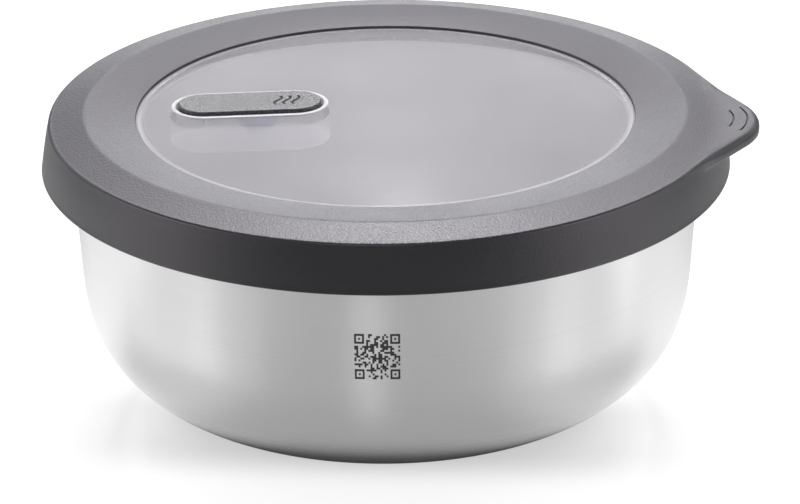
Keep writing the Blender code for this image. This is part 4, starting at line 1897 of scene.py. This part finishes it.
@dataclass
class Studio:
    """Pale floor, soft lamps, surroundings and the camera.

    The floor glows to the camera and to mirrors, with painted shadow and painted light around the bowl. Each
    span of places on it, measured from the bowl's axis, is a stretch over which that brightness changes.
    """

    distance: float = 1.100
    elevation: float = math.radians(23.14)
    azimuth: float = math.radians(4.0)
    roll: float = math.radians(-0.517)
    target: Point = (3.50 * MM, 0.24 * MM, 36.09 * MM)
    focal_pixels: float = 4130.0
    picture_width: float = 800.0
    sensor: float = 36.0
    near_limit: float = 10.0 * MM
    floor_size: float = 8.0
    floor_drop: float = 0.02 * MM
    floor_shade: float = 0.28
    floor_roughness: float = 0.14
    # Levels and spans of the floor's glow: painted shadow and reflection of the bowl for the camera, painted
    # light and shadow for mirrors.
    seen_glow: Span = (0.82, 0.54)
    seen_aside: Span = (40.0 * MM, 97.0 * MM)
    seen_ahead: Span = (-74.0 * MM, -42.0 * MM)
    seen_behind: Span = (-25.0 * MM, 2.0 * MM)
    mirrored_glow: Span = (0.46, 0.55)
    side_fade: Span = (40.0 * MM, 105.0 * MM)
    sides_painted_light: float = 0.45
    sides_slant: float = 0.3
    sides_start: Span = (-8.0 * MM, 34.0 * MM)
    close_painted_light: float = 0.3
    close_aside: Span = (42.0 * MM, 70.0 * MM)
    close_fade: Span = (95.0 * MM, 130.0 * MM)
    foot_stretch: Point = (1.25, 1.0, 1.0)
    foot_painted_shadow: Span = (64.0 * MM, 80.0 * MM)
    dim_glow: float = 0.3
    far_fade: Span = (260.0 * MM, 600.0 * MM)
    back_fade: Span = (-30.0 * MM, 180.0 * MM)
    front_fade: Span = (-450.0 * MM, -200.0 * MM)
    surroundings: float = 0.15
    aim: Point = (0.0, 0.0, 40.0 * MM)

    def camera(self) -> None:
        """Place the camera at the photograph's viewing angle."""
        data = bpy.data.cameras.new("camera")
        data.sensor_width = self.sensor
        data.lens = self.focal_pixels / self.picture_width * self.sensor
        data.clip_start = self.near_limit
        right = Vector((math.cos(self.azimuth), math.sin(self.azimuth), 0))
        level = Vector((math.sin(self.azimuth), -math.cos(self.azimuth), 0)) * math.cos(self.elevation)
        back = level + Vector((0, 0, math.sin(self.elevation)))
        turn = Matrix((right, back.cross(right), back)).transposed() @ Matrix.Rotation(self.roll, 3, "Z")
        obj = bpy.data.objects.new("camera", data)
        obj.matrix_world = Matrix.Translation(Vector(self.target) + back * self.distance) @ turn.to_4x4()
        bpy.context.scene.collection.objects.link(obj)
        bpy.context.scene.camera = obj

    def seen_level_with_painted_shadow(self, kit: NodeKit, parts: bpy.types.NodeOutputs) -> Socket:
        """Work out how bright the camera sees the floor, which a painted shadow and reflection of the bowl
        make dimmer close in front of it.

        Args:
            kit: Nodes of the floor's material.
            parts: Sockets of the place on the floor.

        Returns:
            Socket of the brightness.
        """
        aside = kit.ramp(kit.math("ABSOLUTE", parts["X"]), self.seen_aside, (1.0, 0.0))
        ahead = kit.ramp(parts["Y"], self.seen_ahead, (0.0, 1.0))
        behind = kit.ramp(parts["Y"], self.seen_behind, (1.0, 0.0))
        # dim marks the painted shadow and reflection of the bowl in front of it.
        dim = kit.math("MULTIPLY", aside, kit.math("MULTIPLY", ahead, behind))
        return kit.ramp(dim, (0.0, 1.0), self.seen_glow)

    def mirrored_painted_light_and_shade(self, kit: NodeKit, place: Socket, parts: bpy.types.NodeOutputs) -> Socket:
        """Work out how bright mirrors see the floor: painted light beside the bowl, painted shadow under it,
        and dimmer far from it.

        Args:
            kit: Nodes of the floor's material.
            place: Socket of the place on the floor.
            parts: Sockets of its X, Y and Z.

        Returns:
            Socket of the brightness.
        """
        across = kit.math("ABSOLUTE", parts["X"])
        stretched = kit.vector("MULTIPLY", place, self.foot_stretch)
        distance = kit.vector("LENGTH", stretched.outputs[0]).outputs["Value"]
        # beside and close add painted light on the floor beside the bowl, seen only by mirrors.
        slanted = kit.math("MULTIPLY_ADD", across, self.sides_slant, parts["Y"])
        beside = kit.ramp(slanted, self.sides_start, (0.0, self.sides_painted_light))
        level = kit.math("ADD", kit.ramp(across, self.side_fade, self.mirrored_glow), beside)
        close = kit.ramp(across, self.close_aside, (0.0, self.close_painted_light))
        close = kit.math("MULTIPLY", close, kit.ramp(distance, self.close_fade, (1.0, 0.0)))
        level = kit.math("MINIMUM", kit.math("ADD", level, close), 1.0)
        # The last fade darkens the floor under the bowl as painted shadow, seen only by mirrors.
        fades = (
            kit.ramp(across, self.far_fade, (1.0, self.dim_glow)),
            kit.ramp(parts["Y"], self.back_fade, (1.0, self.dim_glow)),
            kit.ramp(parts["Y"], self.front_fade, (0.0, 1.0)),
            kit.ramp(distance, self.foot_painted_shadow, (0.0, 1.0)),
        )
        for fade in fades:
            level = kit.math("MULTIPLY", level, fade)
        return level

    def floor(self) -> None:
        """Make the pale floor, with a faint reflection and a glow that carries painted shadow and painted
        light around the bowl.
        """
        shape = bmesh.new()
        bmesh.ops.create_grid(shape, x_segments=1, y_segments=1, size=self.floor_size / 2)
        mesh = bpy.data.meshes.new("floor")
        shape.to_mesh(mesh)
        shape.free()
        obj = new_object("floor", mesh)
        obj.location.z = -self.floor_drop
        material = bpy.data.materials.new("pale_floor")
        material.use_nodes = True
        kit = NodeKit(material.node_tree)
        shader = material.node_tree.nodes["Principled BSDF"]
        shader.inputs["Base Color"].default_value = (*[self.floor_shade] * 3, 1.0)
        shader.inputs["Roughness"].default_value = self.floor_roughness
        shader.inputs["Emission Color"].default_value = (1.0, 1.0, 1.0, 1.0)
        place = kit.surface_place()
        parts = kit.parts(place)
        rays = kit.add("ShaderNodeLightPath").outputs
        mirrored = kit.math("MAXIMUM", rays["Is Glossy Ray"], rays["Is Transmission Ray"])
        seen = kit.math("MULTIPLY", rays["Is Camera Ray"], self.seen_level_with_painted_shadow(kit, parts))
        # The glow holds the painted shadow and painted light; the floor's own shading under the lamps stays
        # real.
        glow = kit.math("MULTIPLY_ADD", mirrored, self.mirrored_painted_light_and_shade(kit, place, parts), seen)
        kit.feed(shader.inputs["Emission Strength"], glow)
        mesh.materials.append(material)

    def lamps(self) -> None:
        """Hang the softboxes: one overhead, three rows behind, three on each side and one in front."""
        boxes = (
            Softbox("over", 184, 65, 1.2, (0.36, 0.7), 16.0),
            Softbox("back_high", 184, 40, 1.4, (0.6, 0.3), 3.0),
            Softbox("back_high_left", -148, 42, 1.4, (0.6, 0.4), 3.0),
            Softbox("back_high_right", 156, 42, 1.4, (0.6, 0.4), 4.6),
            Softbox("back", 184, 23, 1.6, (0.6, 0.36), 0.3),
            Softbox("back_left", -150, 23, 1.6, (0.6, 0.36), 0.8),
            Softbox("back_right", 158, 23, 1.6, (0.6, 0.36), 0.9),
            Softbox("back_low", 184, 11, 1.8, (0.76, 0.26), 6.3),
            Softbox("side_back_left", -124, 18, 1.5, (0.8, 0.6), 1.3),
            Softbox("side_back_right", 130, 18, 1.5, (0.8, 0.6), 1.3),
            Softbox("left", -78, 14, 1.2, (0.9, 0.5), 2.9),
            Softbox("right", 82, 14, 1.2, (0.9, 0.5), 2.7),
            Softbox("front_left", -56, 15, 1.4, (0.7, 0.3), 2.6),
            Softbox("front_right", 62, 15, 1.4, (0.7, 0.3), 2.8),
            Softbox("front", -3, 34, 1.6, (0.26, 0.7), 6.0),
        )
        for box in boxes:
            box.build(Vector(self.aim))

    def world(self) -> None:
        """Set even, dim surroundings."""
        world = bpy.data.worlds.new("surroundings")
        world.use_nodes = True
        back = world.node_tree.nodes["Background"]
        back.inputs["Color"].default_value = (1.0, 1.0, 1.0, 1.0)
        back.inputs["Strength"].default_value = self.surroundings
        bpy.context.scene.world = world

    def build(self) -> None:
        """Set the whole studio up."""
        self.camera()
        self.floor()
        self.lamps()
        self.world()
        bpy.context.scene.view_settings.view_transform = "Standard"
        LOG.info("studio is set")


# Whole container


def hinge_frame(joint_name: str) -> Matrix:
    """Return the frame of a hinge: Y against its axis, X level, origin on the axis.

    Args:
        joint_name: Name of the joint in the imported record.

    Returns:
        Matrix from the hinge's frame to the model's.
    """
    joint = next(j for j in frame["joints"] if j["name"] == joint_name)
    across = -Vector(joint["axis"]).normalized()
    up = Vector((0, 0, 1))
    along = across.cross(up)
    turn = Matrix((along, across, up)).transposed()
    return Matrix.Translation(Vector(joint["pos_m"])) @ turn.to_4x4()


def main() -> None:
    """Build every sub-assembly in order and set the studio."""
    logging.basicConfig(level=logging.INFO, format="%(name)s: %(message)s")
    bowl_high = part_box("bowl")[1]
    bowl = Bowl(height=bowl_high.z, rim_radius=bowl_high.x)
    lid = Lid(zero=bowl.height, reach=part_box("lid_frame")[1].x)
    vent = Vent(hinge=hinge_frame("vent_flip"))
    finishes = Finishes.build(lid)
    turning = TurnedPiece()
    bowl.build(turning, finishes)
    lid.build(turning, vent, finishes)
    vent.build(turning, finishes)
    Studio().build()


if __name__ == "__main__":
    main()
